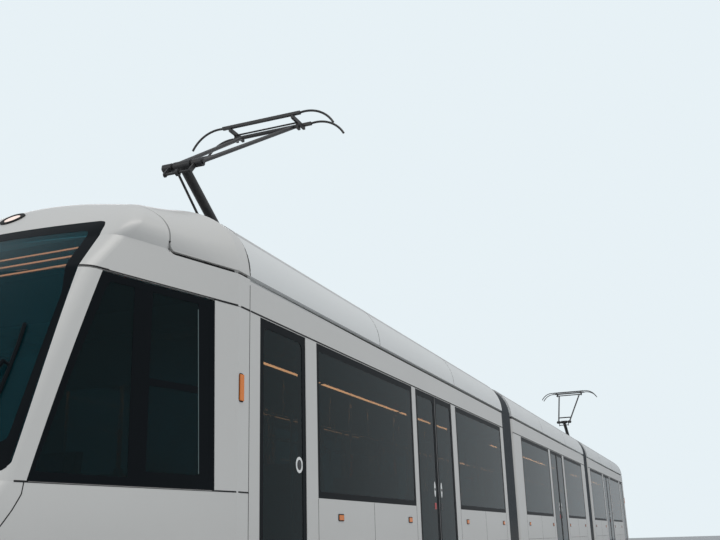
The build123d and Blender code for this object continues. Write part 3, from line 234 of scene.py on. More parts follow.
# Tone: a colour that wanders a little over the surface, as moulded and sprayed parts do
tone, given, wanted = new_group("tone_drift", (
    ("Color", "NodeSocketColor", (0.8, 0.8, 0.8, 1.0)),
    ("Other", "NodeSocketColor", (0.6, 0.6, 0.6, 1.0)),
    ("Scale", "NodeSocketFloat", 4.0), ("Amount", "NodeSocketFloat", 0.3)),
    (("Color", "NodeSocketColor"),))
drift = math_node(tone, "SUBTRACT", noise(tone, given.outputs["Scale"], 5.0), 0.32)
drift = math_node(tone, "MULTIPLY", drift, 2.4, clamp=True)
drift = math_node(tone, "MULTIPLY", drift, given.outputs["Amount"], clamp=True)
toned = colour_mix(tone, drift, given.outputs["Color"], given.outputs["Other"])
tone.links.new(toned, wanted.inputs["Color"])

# Grain: a fine bump, for sprayed paint, moulded plastic, rubber and cast metal
grain, given, wanted = new_group("fine_grain", (
    ("Scale", "NodeSocketFloat", 300.0), ("Strength", "NodeSocketFloat", 0.1),
    ("Depth", "NodeSocketFloat", 0.002)), (("Normal", "NodeSocketVector"),))
bump = grain.nodes.new("ShaderNodeBump")
grain.links.new(noise(grain, given.outputs["Scale"], 2.0), bump.inputs["Height"])
grain.links.new(given.outputs["Strength"], bump.inputs["Strength"])
grain.links.new(given.outputs["Depth"], bump.inputs["Distance"])
grain.links.new(bump.outputs["Normal"], wanted.inputs["Normal"])
print("shader groups", [group.name for group in bpy.data.node_groups])

# %% [markdown]
# Every finish is a material made by one function from a base colour, a second tone, dust and
# grain. Glossy paint adds a clear coat. Glass, lenses, lights and cloth add their own nodes.

# %% Materials
def effect(tree, group, **values):
    """Node of a shared shader group, with values for its inputs."""
    node = tree.nodes.new("ShaderNodeGroup")
    node.node_tree = group
    for label, value in values.items():
        node.inputs[label].default_value = value
    return node


def surface(name, colour, other, rough, drift, dust_level, shine):
    """Material whose colour drifts between two tones and gathers dust, and its shader."""
    material = bpy.data.materials.new(name)
    material.use_nodes = True
    tree = material.node_tree
    shader = tree.nodes["Principled BSDF"]
    shade = effect(tree, tone, Color=(*colour, 1.0), Other=(*other, 1.0), Scale=drift[0], Amount=drift[1])
    soil = effect(tree, dust, Height=dust_level[0], Amount=dust_level[1], Roughness=rough)
    tree.links.new(shade.outputs["Color"], soil.inputs["Color"])
    tree.links.new(soil.outputs["Color"], shader.inputs["Base Color"])
    tree.links.new(soil.outputs["Roughness"], shader.inputs["Roughness"])
    shader.inputs["Specular IOR Level"].default_value = shine
    return material, shader


def finish(name, colour, other=None, rough=0.4, metal=0.0, coat=0.0, drift=(4.0, 0.3),
           dust_level=(0.8, 0.0), grain_size=(300.0, 0.08, 0.001), shine=0.5):
    """Painted, moulded or metal finish with tone drift, dust and grain."""
    other = other or [c * 0.8 for c in colour]
    material, shader = surface(name, colour, other, rough, drift, dust_level, shine)
    scale, strength, depth = grain_size
    relief = effect(material.node_tree, grain, Scale=scale, Strength=strength, Depth=depth)
    material.node_tree.links.new(relief.outputs["Normal"], shader.inputs["Normal"])
    shader.inputs["Metallic"].default_value = metal
    shader.inputs["Coat Weight"].default_value = coat
    shader.inputs["Coat Roughness"].default_value = 0.05
    return material


white = finish("body_white", (0.58, 0.58, 0.57), (0.52, 0.52, 0.51), 0.38, coat=0.10,
               drift=(0.8, 0.25), dust_level=(1.1, 0.30), grain_size=(55.0, 0.03, 0.001))
cab_white = finish("cab_white", (0.59, 0.59, 0.58), (0.53, 0.53, 0.52), 0.34, coat=0.12,
                   drift=(0.7, 0.2), dust_level=(1.1, 0.30), grain_size=(40.0, 0.02, 0.001))
# The roof's fairings get a lighter, bluer copy of the body's white: painted light from the sky above them.
roof_white_painted_skylight = finish("roof_white_painted_skylight", (0.70, 0.72, 0.725), (0.63, 0.65, 0.655), 0.40, coat=0.08,
                    drift=(0.6, 0.25), grain_size=(55.0, 0.03, 0.001))
roof_grey = finish("roof_grey", (0.50, 0.51, 0.52), (0.38, 0.38, 0.38), 0.6,
                   drift=(1.7, 0.5), grain_size=(150.0, 0.12, 0.001))
black_paint = finish("door_black", (0.003, 0.005, 0.007), (0.005, 0.008, 0.010), 0.40,
                     dust_level=(0.9, 0.2), shine=0.06)
rubber = finish("seal_rubber", (0.010, 0.010, 0.011), (0.02, 0.02, 0.02), 0.62,
                drift=(14.0, 0.5), grain_size=(500.0, 0.2, 0.0006), shine=0.25)
chassis = finish("chassis_grey", (0.055, 0.056, 0.058), (0.10, 0.09, 0.08), 0.6,
                 drift=(6.0, 0.5), dust_level=(0.7, 0.75), grain_size=(180.0, 0.25, 0.001))
cast_steel = finish("bogie_grey", (0.05, 0.052, 0.055), (0.11, 0.085, 0.065), 0.55,
                    drift=(9.0, 0.6), dust_level=(0.75, 0.8), grain_size=(120.0, 0.4, 0.0012))
bare_steel = finish("tread_steel", (0.46, 0.45, 0.44), (0.30, 0.26, 0.22), 0.28, metal=1.0,
                    drift=(30.0, 0.5), grain_size=(420.0, 0.15, 0.0004))
panto_black = finish("collector_black", (0.02, 0.021, 0.024), (0.06, 0.055, 0.05), 0.42,
                     drift=(12.0, 0.5), grain_size=(240.0, 0.15, 0.0008))
carbon = finish("carbon_strip", (0.028, 0.028, 0.03), (0.08, 0.07, 0.06), 0.5,
                drift=(40.0, 0.6), grain_size=(300.0, 0.35, 0.0008))
inner_panel = finish("interior_panel", (0.42, 0.42, 0.40), (0.36, 0.36, 0.34), 0.5,
                     drift=(2.0, 0.3), grain_size=(350.0, 0.15, 0.0006))
dark_plastic = finish("dark_plastic", (0.03, 0.032, 0.035), (0.05, 0.05, 0.052), 0.5,
                      drift=(8.0, 0.4), grain_size=(420.0, 0.25, 0.0006))
steel = finish("brushed_steel", (0.58, 0.58, 0.57), (0.48, 0.48, 0.48), 0.3, metal=1.0,
               drift=(16.0, 0.4), grain_size=(260.0, 0.08, 0.0004))
orange_pole = finish("orange_pole", (0.80, 0.28, 0.03), (0.70, 0.22, 0.02), 0.35, coat=0.3,
                     drift=(6.0, 0.3))
insulator = finish("insulator_brown", (0.16, 0.045, 0.025), (0.10, 0.03, 0.02), 0.25, coat=0.5,
                   drift=(10.0, 0.4))


def glass(name, tint, rough=0.02, see_through=0.75, dirt=0.0, shine=0.5, bend=1.45):
    """Tinted glass: light goes through it, and a little dirt dulls it in streaks."""
    other = [c * 0.7 for c in tint]
    material, shader = surface(name, tint, other, rough, (0.9, 0.5), (3.2, dirt), shine)
    shader.inputs["Transmission Weight"].default_value = see_through
    shader.inputs["IOR"].default_value = bend
    return material


THIN_PANE = 1.17             # a pane bends light once in and once out, so hardly at all
window_glass = glass("window_glass", (0.022, 0.070, 0.080), see_through=0.90, dirt=0.01,
                     shine=0.20, bend=THIN_PANE)
screen_glass = glass("windscreen_glass", (0.030, 0.16, 0.20), see_through=0.88, dirt=0.01,
                     shine=0.20, bend=THIN_PANE)
clear_lens = glass("clear_lens", (0.85, 0.88, 0.9), rough=0.05, see_through=0.9, bend=THIN_PANE)
amber_lens = glass("amber_lens", (0.95, 0.27, 0.04), rough=0.15, see_through=0.2)
red_lens = glass("red_lens", (0.55, 0.02, 0.02), rough=0.1, see_through=0.4)


def glow(name, colour, strength):
    """Even light from a diffuser or a bulb."""
    material = finish(name, colour, rough=0.5)
    shader = material.node_tree.nodes["Principled BSDF"]
    shader.inputs["Emission Color"].default_value = (*colour, 1.0)
    shader.inputs["Emission Strength"].default_value = strength
    return material


warm_light = glow("warm_light", (1.0, 0.17, 0.07), 28.0)
display_bars = glow("display_bars", (1.0, 0.090, 0.037), 15.0)
display_field = finish("display_field", (0.10, 0.055, 0.035), (0.07, 0.04, 0.03), 0.6)


def paint(node, *materials):
    """Gives a CAD node its finish."""
    piece = nodes[node]
    piece.data.materials.clear()
    for material in materials:
        piece.data.materials.append(material)
    return piece


FINISHES = {
    "_side_walls": white, "_cab_mask": cab_white, "_roof": roof_white_painted_skylight, "_doors": black_paint,
    "_windows": window_glass, "_windscreen": screen_glass, "_bellows": rubber,
    "_seats": dark_plastic, "_fittings": inner_panel, "_lamps": amber_lens,
    "_underframe": chassis, "_floor": chassis, "_bogie": cast_steel, "_wheelset": bare_steel}
for name in nodes:
    paint(name, next((look for ending, look in FINISHES.items() if name.endswith(ending)), panto_black))


def paint_faces(node, material, wanted):
    """Another finish on those faces of a CAD node that a test on centre and normal picks."""
    piece = nodes[node]
    index = len(piece.data.materials)
    piece.data.materials.append(material)
    place, turn = piece.matrix_world, piece.matrix_world.to_3x3()
    for face in piece.data.polygons:
        if wanted(place @ face.center, turn @ face.normal):
            face.material_index = index


FAIRING_X = 1.2              # the fairings lie outside this, the equipment's deck inside
GUTTER_LOW, GUTTER_TOP, DECK_LOW = 2.746, 2.7727, 2.775
STRIP_LOW, INSULATOR_TOP = 5.5, 3.26


# The gutter's faces, in the recess between the wall's top and the fairing, are painted dark rubber: painted
# shade.
def is_gutter_painted_shade(c, n):
    return GUTTER_LOW < c.z < GUTTER_TOP and abs(c.x) > FAIRING_X and abs(n.z) < 0.5


def is_deck(c, n):
    return abs(c.x) < FAIRING_X and c.z > DECK_LOW or abs(c.x) < 1.0 and n.z > 0.5


covering = finish("floor_covering", (0.10, 0.105, 0.115), (0.16, 0.16, 0.17), 0.55,
                  drift=(160.0, 0.8), grain_size=(500.0, 0.12, 0.0005))
for section in ("front", "middle", "rear"):
    paint_faces(f"{section}_roof", rubber, is_gutter_painted_shade)
    paint_faces(f"{section}_roof", roof_grey, is_deck)
    paint_faces(f"{section}_roof", inner_panel, lambda c, n: c.z < 2.7 and abs(c.x) < 1.27)
    paint_faces(f"{section}_floor", covering, lambda c, n: n.z > 0.7)
for end in ("front", "rear"):
    paint_faces(f"{end}_pantograph_head", carbon, lambda c, n: n.z > 0.9 and c.z > STRIP_LOW)
    paint_faces(f"{end}_pantograph_base", insulator, lambda c, n: c.z < INSULATOR_TOP)
print("materials", len(bpy.data.materials))

# %% [markdown]
# The dressing is built in plain mesh code. A few helpers add a box, a bar, a bent tube, a turned
# ring or a frame to a mesh. A piece of an end section is modelled once, on the right of the
# front one. It is mirrored to the left, and a copy turned half round makes the rear section.

# %% Mesh helpers
def add_box(bm, low, high, material=0):
    """Box between two corners."""
    made = bmesh.ops.create_cube(bm, size=1.0)["verts"]
    centre = [(a + b) / 2 for a, b in zip(low, high)]
    size = [abs(b - a) for a, b in zip(low, high)]
    bmesh.ops.scale(bm, vec=size, verts=made)
    bmesh.ops.translate(bm, vec=centre, verts=made)
    for face in {f for v in made for f in v.link_faces}:
        face.material_index = material


def add_sweep(bm, points, section, material=0, closed=False):
    """Carries a section of (side, rise) pairs along points, turning it as little as it can."""
    points = [Vector(p) for p in points]
    count = len(points)
    rings = []
    side = None
    for index, point in enumerate(points):
        before = points[(index - 1) % count] if index or closed else point
        after = points[(index + 1) % count] if index < count - 1 or closed else point
        along = (after - before).normalized()
        if side is None:
            helper = Vector((0, 0, 1)) if abs(along.z) < 0.9 else Vector((0, 1, 0))
            side = along.cross(helper).normalized()
        else:
            side = (side - along * side.dot(along)).normalized()
        rise = side.cross(along)
        rings.append([bm.verts.new(point + side * a + rise * b) for a, b in section])
    for first, second in zip(rings, rings[1:] + (rings[:1] if closed else [])):
        for a in range(len(section)):
            b = (a + 1) % len(section)
            bm.faces.new((first[a], first[b], second[b], second[a])).material_index = material
    if not closed:
        bm.faces.new(rings[0][::-1]).material_index = material
        bm.faces.new(rings[-1]).material_index = material


def ellipse(centre, radii, count):
    """Flat points round an ellipse."""
    angles = [2 * math.pi * k / count for k in range(count)]
    return [(centre[0] + radii[0] * math.cos(a), centre[1] + radii[1] * math.sin(a)) for a in angles]


def add_tube(bm, points, radius, sides=12, material=0, closed=False):
    """Round bar or hose through points."""
    add_sweep(bm, points, ellipse((0, 0), (radius, radius), sides), material, closed)


def add_turned(bm, place, axis, profile, sides=24, material=0):
    """Turns a profile of (distance along the axis, radius) pairs round an axis through a place."""
    turn = Vector((0, 0, 1)).rotation_difference(Vector(axis)).to_matrix().to_4x4()
    turn = Matrix.Translation(place) @ turn
    rings = []
    for along, radius in profile:
        if radius < 1e-6:
            rings.append([bm.verts.new(turn @ Vector((0, 0, along)))])
        else:
            points = ellipse((0, 0), (radius, radius), sides)
            rings.append([bm.verts.new(turn @ Vector((a, b, along))) for a, b in points])
    for first, second in zip(rings, rings[1:]):
        for k in range(sides):
            around = ((first, k), (first, k + 1), (second, k + 1), (second, k))
            corners = [ring[j % len(ring)] for ring, j in around]
            corners = [c for i, c in enumerate(corners) if c not in corners[:i]]
            if len(corners) > 2:
                bm.faces.new(corners).material_index = material
    for ring in (rings[0], rings[-1]):
        if len(ring) > 1:
            bm.faces.new(ring).material_index = material


def rounded(low, high, radius, steps=5):
    """Outline of a rectangle between two (a, b) corners, with rounded corners."""
    (a0, b0), (a1, b1) = (c + radius for c in low), (c - radius for c in high)
    points = []
    for a, b, start in ((a1, b1, 0), (a0, b1, 90), (a0, b0, 180), (a1, b0, 270)):
        for k in range(steps + 1):
            t = math.radians(start + 90 * k / steps)
            points.append((a + radius * math.cos(t), b + radius * math.sin(t)))
    return points


def add_frame(bm, outer, inner, x_low, x_high, material=0):
    """Flat ring between two outlines of equal length, given as (y, z), from x_low to x_high."""
    edges = [(outline, x) for outline in (outer, inner) for x in (x_high, x_low)]
    sets = [[bm.verts.new((x, y, z)) for y, z in outline] for outline, x in edges]
    count = len(outer)
    for k in range(count):
        n = (k + 1) % count
        for a, b in ((0, 2), (2, 3), (3, 1), (1, 0)):
            bm.faces.new((sets[a][k], sets[a][n], sets[b][n], sets[b][k])).material_index = material


def add_plate(bm, outline, x_low, x_high, material=0):
    """Plate with an outline of (y, z) points, thick from x_low to x_high."""
    front = [bm.verts.new((x_high, y, z)) for y, z in outline]
    rear = [bm.verts.new((x_low, y, z)) for y, z in outline]
    bm.faces.new(front).material_index = material
    bm.faces.new(rear[::-1]).material_index = material
    for k in range(len(outline)):
        n = (k + 1) % len(outline)
        bm.faces.new((front[k], rear[k], rear[n], front[n])).material_index = material


def shade(mesh, degrees):
    """Smooth shading, with hard edges where faces meet at more than an angle."""
    mesh.shade_smooth()
    mesh.set_sharp_from_angle(angle=math.radians(degrees))


def finish_piece(bm, name, materials, body, bevel=0.0, smooth=35.0, slot=None):
    """Turns a bmesh into a piece with outward faces, materials and a body to ride on; slot is not used."""
    bmesh.ops.recalc_face_normals(bm, faces=bm.faces)
    mesh = bpy.data.meshes.new(name)
    bm.to_mesh(mesh)
    bm.free()
    for material in materials:
        mesh.materials.append(material)
    shade(mesh, smooth)
    piece = bpy.data.objects.new(name, mesh)
    scene.collection.objects.link(piece)
    if bevel:
        edge = piece.modifiers.new("soft_edge", "BEVEL")
        edge.width = bevel
        edge.segments = 2
        edge.limit_method = "ANGLE"
        edge.harden_normals = False
    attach(piece, body)


def both_sides(bm):
    """Adds the mirror image of all there is so far on the other side of the tram."""
    made = bmesh.ops.duplicate(bm, geom=bm.verts[:] + bm.edges[:] + bm.faces[:])["geom"]
    bmesh.ops.scale(bm, vec=(-1, 1, 1), verts=[v for v in made if isinstance(v, bmesh.types.BMVert)])
    bmesh.ops.reverse_faces(bm, faces=[f for f in made if isinstance(f, bmesh.types.BMFace)])


def ride_piece(name, build, materials, body, mirrored=False, turn=0.0, **options):
    """A piece of one moving body, mirrored to the left and turned about the middle if wanted."""
    bm = bmesh.new()
    build(bm)
    if mirrored:
        both_sides(bm)
    if turn:
        bmesh.ops.rotate(bm, cent=(0, 0, 0), matrix=Matrix.Rotation(turn, 3, "Z"), verts=bm.verts)
    finish_piece(bm, name, materials, body, **options)


def end_piece(name, build, materials, mirrored=True, **options):
    """A piece of both end sections: built at the front, and turned half round for the rear."""
    for end, turn in (("front", 0.0), ("rear", math.pi)):
        ride_piece(f"{end}_{name}", build, materials, f"{end}_module", mirrored, turn, **options)


def middle_piece(name, build, materials, **options):
    """A piece of the middle section, on both sides."""
    ride_piece(f"middle_{name}", build, materials, "middle_module", True, **options)


# %% [markdown]
# Windows and doors repeat along the side, so their places are in one short table for each
# section. Each pane is glued flush, and a black printed border hides the glue. A thin dark
# joint runs above all of them, others part the panels below, and the roof's three rounded
# fairings meet in two more.

# %% Window borders, joints between panels
END_ROWS = (("door", -12.92, -12.13), ("window", -11.91, -9.37),
            ("door", -9.24, -7.80), ("window", -7.61, -5.07))
MIDDLE_ROWS = (("window", -3.51, -0.91), ("door", -0.72, 0.72), ("window", 0.91, 3.51))
END_SPAN, MIDDLE_SPAN = (-SEAM, -4.83), (-4.13, 4.13)
PANE_FACE, PANE_GAP = HALF - 0.003, 0.002
BORDER_SIDE, BORDER_LOW, BORDER_TOP = 0.045, 0.05, 0.06
SKIRT_FOOT = 0.245
PANEL_JOINT = 0.005
SHOULDER_CENTRE = (0.805, 2.7476 + RAIL)
SHOULDER_OUT, SHOULDER_IN = 0.5206, 0.517    # the roof joint's radii, over and under the skin


def add_borders(bm, rows):
    """Printed border round each window."""
    for kind, start, end in rows:
        if kind == "window":
            low, high = (start + PANE_GAP, SILL + PANE_GAP), (end - PANE_GAP, GLASS_TOP - PANE_GAP)
            inner = rounded((low[0] + BORDER_SIDE, low[1] + BORDER_LOW),
                            (high[0] - BORDER_SIDE, high[1] - BORDER_TOP), 0.03)
            add_frame(bm, rounded(low, high, 0.012), inner, PANE_FACE - 0.004, PANE_FACE + 0.0012)


def add_panel_joints(bm, rows):
    """Dark upright joints between the panels under each window."""
    half, top = PANEL_JOINT / 2, SILL - 0.004
    for kind, start, end in rows:
        if kind == "window":
            for y in (start, (start + end) / 2, end):
                add_box(bm, (HALF - 0.001, y - half, SKIRT_FOOT), (HALF + 0.0008, y + half, top), 1)


def add_top_joint(bm, y_low, y_high):
    """Dark joint under the cant rail."""
    add_box(bm, (HALF - 0.001, y_low, GLASS_TOP + 0.005), (HALF + 0.001, y_high, GLASS_TOP + 0.018), 1)


def add_roof_joint(bm, y, half_width=0.005):
    """Dark joint round the roof's shoulder at a place along the tram."""
    x, z = SHOULDER_CENTRE
    edges = ((SHOULDER_OUT, -half_width), (SHOULDER_OUT, half_width),
             (SHOULDER_IN, half_width), (SHOULDER_IN, -half_width))
    rings = []
    for degrees in range(0, 73, 6):
        a = math.radians(degrees)
        points = [(x + r * math.cos(a), y + along, z + r * math.sin(a)) for r, along in edges]
        rings.append([bm.verts.new(point) for point in points])
    for first, second in zip(rings, rings[1:]):
        for k in range(4):
            bm.faces.new((first[k], first[(k + 1) % 4], second[(k + 1) % 4], second[k])).material_index = 1
    bm.faces.new(rings[0][::-1]).material_index = 1
    bm.faces.new(rings[-1]).material_index = 1


def add_roof_joints(bm, y_low, y_high):
    """The joints between the three roof fairings of a section."""
    pitch = (y_high - y_low + 0.004) / 3
    for k in (1, 2):
        add_roof_joint(bm, y_low + k * pitch - 0.002)


def add_trim(bm, rows, span):
    """Borders and joints of one section between two places along the tram."""
    low, high = span
    add_borders(bm, rows)
    add_panel_joints(bm, rows)
    add_top_joint(bm, low + 0.01, high - 0.01)
    add_roof_joints(bm, low, high)


trim_materials = [black_paint, rubber]
end_piece("borders", lambda bm: add_trim(bm, END_ROWS, END_SPAN), trim_materials,
          slot="door_frames")
middle_piece("borders", lambda bm: add_trim(bm, MIDDLE_ROWS, MIDDLE_SPAN), trim_materials,
             slot="door_frames")
print("borders and joints made")

# %% [markdown]
# Each door leaf is a dark frame full of glass. What makes it look real is small: the rubber
# edges that meet in the middle, a round push button in a pale ring, a grip inside the glass
# and a bright sill below. A pale oval stands for the button plate of each double leaf.

# %% Doors
DOOR_FOOT = 0.325
BUTTON_Z, ENTRY_BUTTON_Z = 1.42, 1.46
PLATE_LOW, PLATE_TOP = 1.20, 1.27
GRIP_LOW, GRIP_TOP = 0.95, 1.88


def add_button(bm, y, z, face, radii, steps):
    """Round push button on a leaf, as a turned cap of two steps; radii from its foot to its top."""
    foot, shoulder, top = radii
    cap = ((0, foot), (0.004, shoulder), (0.006, top), (0.006, 0))
    add_turned(bm, (face, y, z), (1, 0, 0), cap, steps, 3)


def add_door(bm, start, end):
    """Rubber edges, buttons, grips and sill of a doorway; materials: rubber, steel, pale, dark, red."""
    face = HALF - 0.004
    double = end - start > 1.1
    middle = (start + end) / 2
    low, high = DOOR_FOOT + 0.01, GLASS_TOP - 0.01
    thick = (face - 0.006, face - 0.0015)
    if double:
        add_box(bm, (face - 0.03, middle - 0.014, low), (face + 0.003, middle + 0.014, high), 0)
        add_box(bm, (face + 0.002, middle - 0.003, low), (face + 0.0042, middle + 0.003, high), 1)
    sill_low, sill_top = DOOR_FOOT - 0.03, DOOR_FOOT - 0.004
    add_box(bm, (HALF - 0.07, start + 0.002, sill_low), (HALF - 0.001, end - 0.002, sill_top), 1)
    places = [(middle - 0.13, 1), (middle + 0.13, -1)] if double else [(end - 0.12, 1)]
    for y, way in places:
        if double:
            add_plate(bm, ellipse((y, BUTTON_Z), (0.028, 0.085), 28), *thick, 2)
            add_button(bm, y, BUTTON_Z, face - 0.003, (0.017, 0.016, 0.010), 20)
        else:
            ring = ellipse((y, ENTRY_BUTTON_Z), (0.062, 0.062), 32)
            core = ellipse((y, ENTRY_BUTTON_Z), (0.040, 0.040), 32)
            add_frame(bm, ring, core, *thick, 2)
            add_button(bm, y, ENTRY_BUTTON_Z, face - 0.006, (0.036, 0.034, 0.024), 24)
    if double:
        for y, material in ((middle - 0.165, 4), (middle + 0.095, 3)):
            add_plate(bm, rounded((y, PLATE_LOW), (y + 0.07, PLATE_TOP), 0.012), *thick, material)
    for y, way in places:
        x, y = face - 0.085, y + way * 0.03
        grip = [(x + 0.028, y, GRIP_LOW), (x, y, GRIP_LOW + 0.03), (x, y, 1.30),
                (x, y, GRIP_TOP - 0.03), (x + 0.028, y, GRIP_TOP)]
        add_tube(bm, grip, 0.014, 10, 1)


def add_doors(bm, rows):
    """Fittings of a section's doorways."""
    for kind, start, end in rows:
        if kind == "door":
            add_door(bm, start, end)


pale_mark = finish("pale_mark", (0.78, 0.80, 0.80), (0.70, 0.72, 0.72), 0.4)
red_mark = finish("red_mark", (0.42, 0.02, 0.02), (0.30, 0.02, 0.02), 0.35)
door_materials = [rubber, steel, pale_mark, dark_plastic, red_mark]
end_piece("door_fittings", lambda bm: add_doors(bm, END_ROWS), door_materials, slot="door_frames")
middle_piece("door_fittings", lambda bm: add_doors(bm, MIDDLE_ROWS), door_materials, slot="door_frames")
print("door fittings made")

# %% [markdown]
# The cab is glazed from outside with bonded glass. A printed black band hides the glue, and thin
# joints show where the panels meet. These pieces are thin skins that follow the curved shell, so
# their outlines are drawn flat and each point is sent to the shell by a ray. The destination
# display is a flat slab that leans behind the top of the windscreen, with three lit lines.

# %% Skins that lie on the cab
def surface_of(*names):
    """Tree of the faces of some CAD nodes, to send rays at."""
    corners, faces = [], []
    for name in names:
        piece = nodes[name]
        start = len(corners)
        corners += [piece.matrix_world @ v.co for v in piece.data.vertices]
        faces += [[start + i for i in face.vertices] for face in piece.data.polygons]
    return BVHTree.FromPolygons(corners, faces)


def finder(tree, view):
    """Function from a flat (across, height) place to a point and its normal on the shell."""
    way = Vector((0, 1, 0)) if view == "front" else Vector((-1, 0, 0))

    def find(place):
        across, height = place
        start = Vector((across, -18.0, height)) if view == "front" else Vector((2.0, across, height))
        # A ray that falls into the joint between two panels is moved aside by a few millimetres
        for shift in (0.0, 0.006, 0.012, -0.006, -0.012):
            inwards = (-math.copysign(shift, across), 0, 0) if view == "front" else (0, shift, 0)
            for aside in (inwards, (0, 0, shift)):
                point, normal, _, _ = tree.ray_cast(start + Vector(aside), way)
                if point is not None:
                    return point, normal if normal.dot(way) < 0 else -normal
        raise ValueError(f"no shell at {place} in the {view} view")
    return find


def add_skin(bm, find, rows, proud=0.0012, depth=0.003, material=0, closed=False):
    """Thin closed skin on the shell, through rows of flat places."""
    hits = [[find(place) for place in row] for row in rows]
    tops = [[bm.verts.new(point + normal * proud) for point, normal in row] for row in hits]
    lows = [[bm.verts.new(point - normal * depth) for point, normal in row] for row in hits]
    count, wide = len(rows), len(rows[0])
    faces = []
    for i in range(count if closed else count - 1):
        j = (i + 1) % count
        for k in range(wide - 1):
            faces.append((tops[i][k], tops[j][k], tops[j][k + 1], tops[i][k + 1]))
            faces.append((lows[i][k], lows[i][k + 1], lows[j][k + 1], lows[j][k]))
        for k in (0, wide - 1):
            faces.append((tops[i][k], tops[j][k], lows[j][k], lows[i][k]))
    if not closed:
        for i in (0, count - 1):
            for k in range(wide - 1):
                faces.append((tops[i][k], tops[i][k + 1], lows[i][k + 1], lows[i][k]))
    for corners in faces:
        bm.faces.new(corners).material_index = material


def soft_outline(corners, radius, steps=4, per_side=12):
    """Outline through flat corners, each rounded off, with points along its straight sides."""
    corners = [Vector(corner) for corner in corners]
    count = len(corners)
    points = []
    for index, corner in enumerate(corners):
        before, after = corners[index - 1], corners[(index + 1) % count]
        a = corner + (before - corner).normalized() * radius
        b = corner + (after - corner).normalized() * radius
        for k in range(steps + 1):
            t = k / steps
            points.append(a * (1 - t) ** 2 + corner * 2 * t * (1 - t) + b * t ** 2)
        end = after + (corner - after).normalized() * radius
        points += [b.lerp(end, k / per_side) for k in range(1, per_side)]
    return points


def add_line(bm, find, places, width, **options):
    """Narrow skin along a flat route."""
    places = [Vector(place) for place in places]
    rows = []
    for index, place in enumerate(places):
        along = places[min(index + 1, len(places) - 1)] - places[max(index - 1, 0)]
        side = Vector((-along.y, along.x)).normalized() * width / 2
        rows.append([place - side, place + side])
    add_skin(bm, find, rows, **options)


def route(corners, step=0.06):
    """Flat route through corners with points at even steps."""
    corners = [Vector(corner) for corner in corners]
    points = [corners[0]]
    for a, b in zip(corners, corners[1:]):
        count = max(1, round((b - a).length / step))
        points += [a.lerp(b, k / count) for k in range(1, count + 1)]
    return points


shell = surface_of("front_cab_mask", "front_windscreen", "front_windows", "front_side_walls")
screen = surface_of("front_windscreen")
from_front = finder(screen, "front")
from_right = finder(shell, "side")
nose_find = finder(shell, "front")
lens_find = finder(surface_of("front_cab_mask", "front_lamps"), "front")

SCREEN_LOW, SCREEN_TOP = 1.230 + RAIL, 2.882 + RAIL
SCREEN_GAP = 0.006
BAND_SIDE, BAND_LOW, BAND_TOP = 0.038, 0.16, 0.085
SCREEN_WIDTHS = ((SCREEN_LOW, 1.028), (2.470 + RAIL, 0.936), (SCREEN_TOP, 0.900))


def screen_half(height):
    """Half the windscreen's width at a height."""
    for (low, a), (high, b) in zip(SCREEN_WIDTHS, SCREEN_WIDTHS[1:]):
        if height <= high:
            return a + (b - a) * (height - low) / (high - low)
    return SCREEN_WIDTHS[-1][1]


def screen_corners(side, low, top, high_side):
    """Corners of an outline inside the windscreen, taken in at the sides, below and above."""
    rows = ((SCREEN_LOW + low, side), (2.30 + RAIL, side),
            (2.52 + RAIL, high_side), (SCREEN_TOP - top, high_side))
    half = [(screen_half(h) - inset, h) for h, inset in rows]
    return half + [(-x, h) for x, h in reversed(half)]


def screen_border(bm):
    """Black band round the windscreen."""
    outer = soft_outline(screen_corners(SCREEN_GAP, SCREEN_GAP, SCREEN_GAP, SCREEN_GAP), 0.04)
    inner = soft_outline(screen_corners(BAND_SIDE, BAND_LOW, BAND_TOP, BAND_TOP), 0.04)
    rows = [[a.lerp(b, k / 3) for k in range(4)] for a, b in zip(outer, inner)]
    add_skin(bm, nose_find, rows, closed=True)


DISPLAY_LOW, DISPLAY_TOP, DISPLAY_HALF = 2.475, 2.790, 0.86
DISPLAY_LINES = (2.537, 2.614, 2.690)


def display(bm):
    """Destination display: its case, its pale field and three lit lines."""
    def slab(low, high, half, near, far, material):
        corners = []
        for z in (low, high):
            edge = from_front((DISPLAY_HALF - 0.02, z))[0].y
            plan = ((-half, far), (half, far), (half, near), (-half, near))
            corners += [(x, edge + y, z) for x, y in plan]
        made = [bm.verts.new(corner) for corner in corners]
        for face in ((3, 2, 1, 0), (4, 5, 6, 7), (0, 1, 5, 4), (1, 2, 6, 5), (2, 3, 7, 6), (3, 0, 4, 7)):
            bm.faces.new([made[k] for k in face]).material_index = material
    slab(DISPLAY_LOW, DISPLAY_TOP, DISPLAY_HALF, 0.045, 0.075, 0)
    slab(DISPLAY_LOW + 0.040, DISPLAY_TOP - 0.078, DISPLAY_HALF - 0.035, 0.040, 0.046, 1)
    for z in DISPLAY_LINES:
        slab(z - 0.006, z + 0.006, DISPLAY_HALF - 0.045, 0.034, 0.041, 2)


PILLAR_FOOT, PILLAR_HEAD, PILLAR_REAR = 1.855, 1.310, 0.390    # corners of the cab's side window
MULLION, SLIDER_Z = 0.485, 1.857
SEAM_Z = GLASS_TOP + 0.012
GROOVE_END, GROOVE_TOP, CROWN = 0.797, 2.80, 3.13
GROOVE_JOINT_AND_SHADOW = ((0.002, 2.7315), (0.74, 2.7315), (0.775, 2.738), (0.794, 2.765), (GROOVE_END, GROOVE_TOP))
NOSE_JOINT = ((1.87, 1.19), (1.89, 1.13), (1.95, 1.05), (2.03, 0.96), (2.08, 0.84), (2.08, 0.66),
              (2.00, 0.46), (1.88, 0.30))


def add_cab_line(bm, places, width, step=0.06, **options):
    """Line on the cab's side along (distance ahead of the seam, height) places."""
    add_line(bm, from_right, route([(-SEAM - ahead, z) for ahead, z in places], step), width, **options)


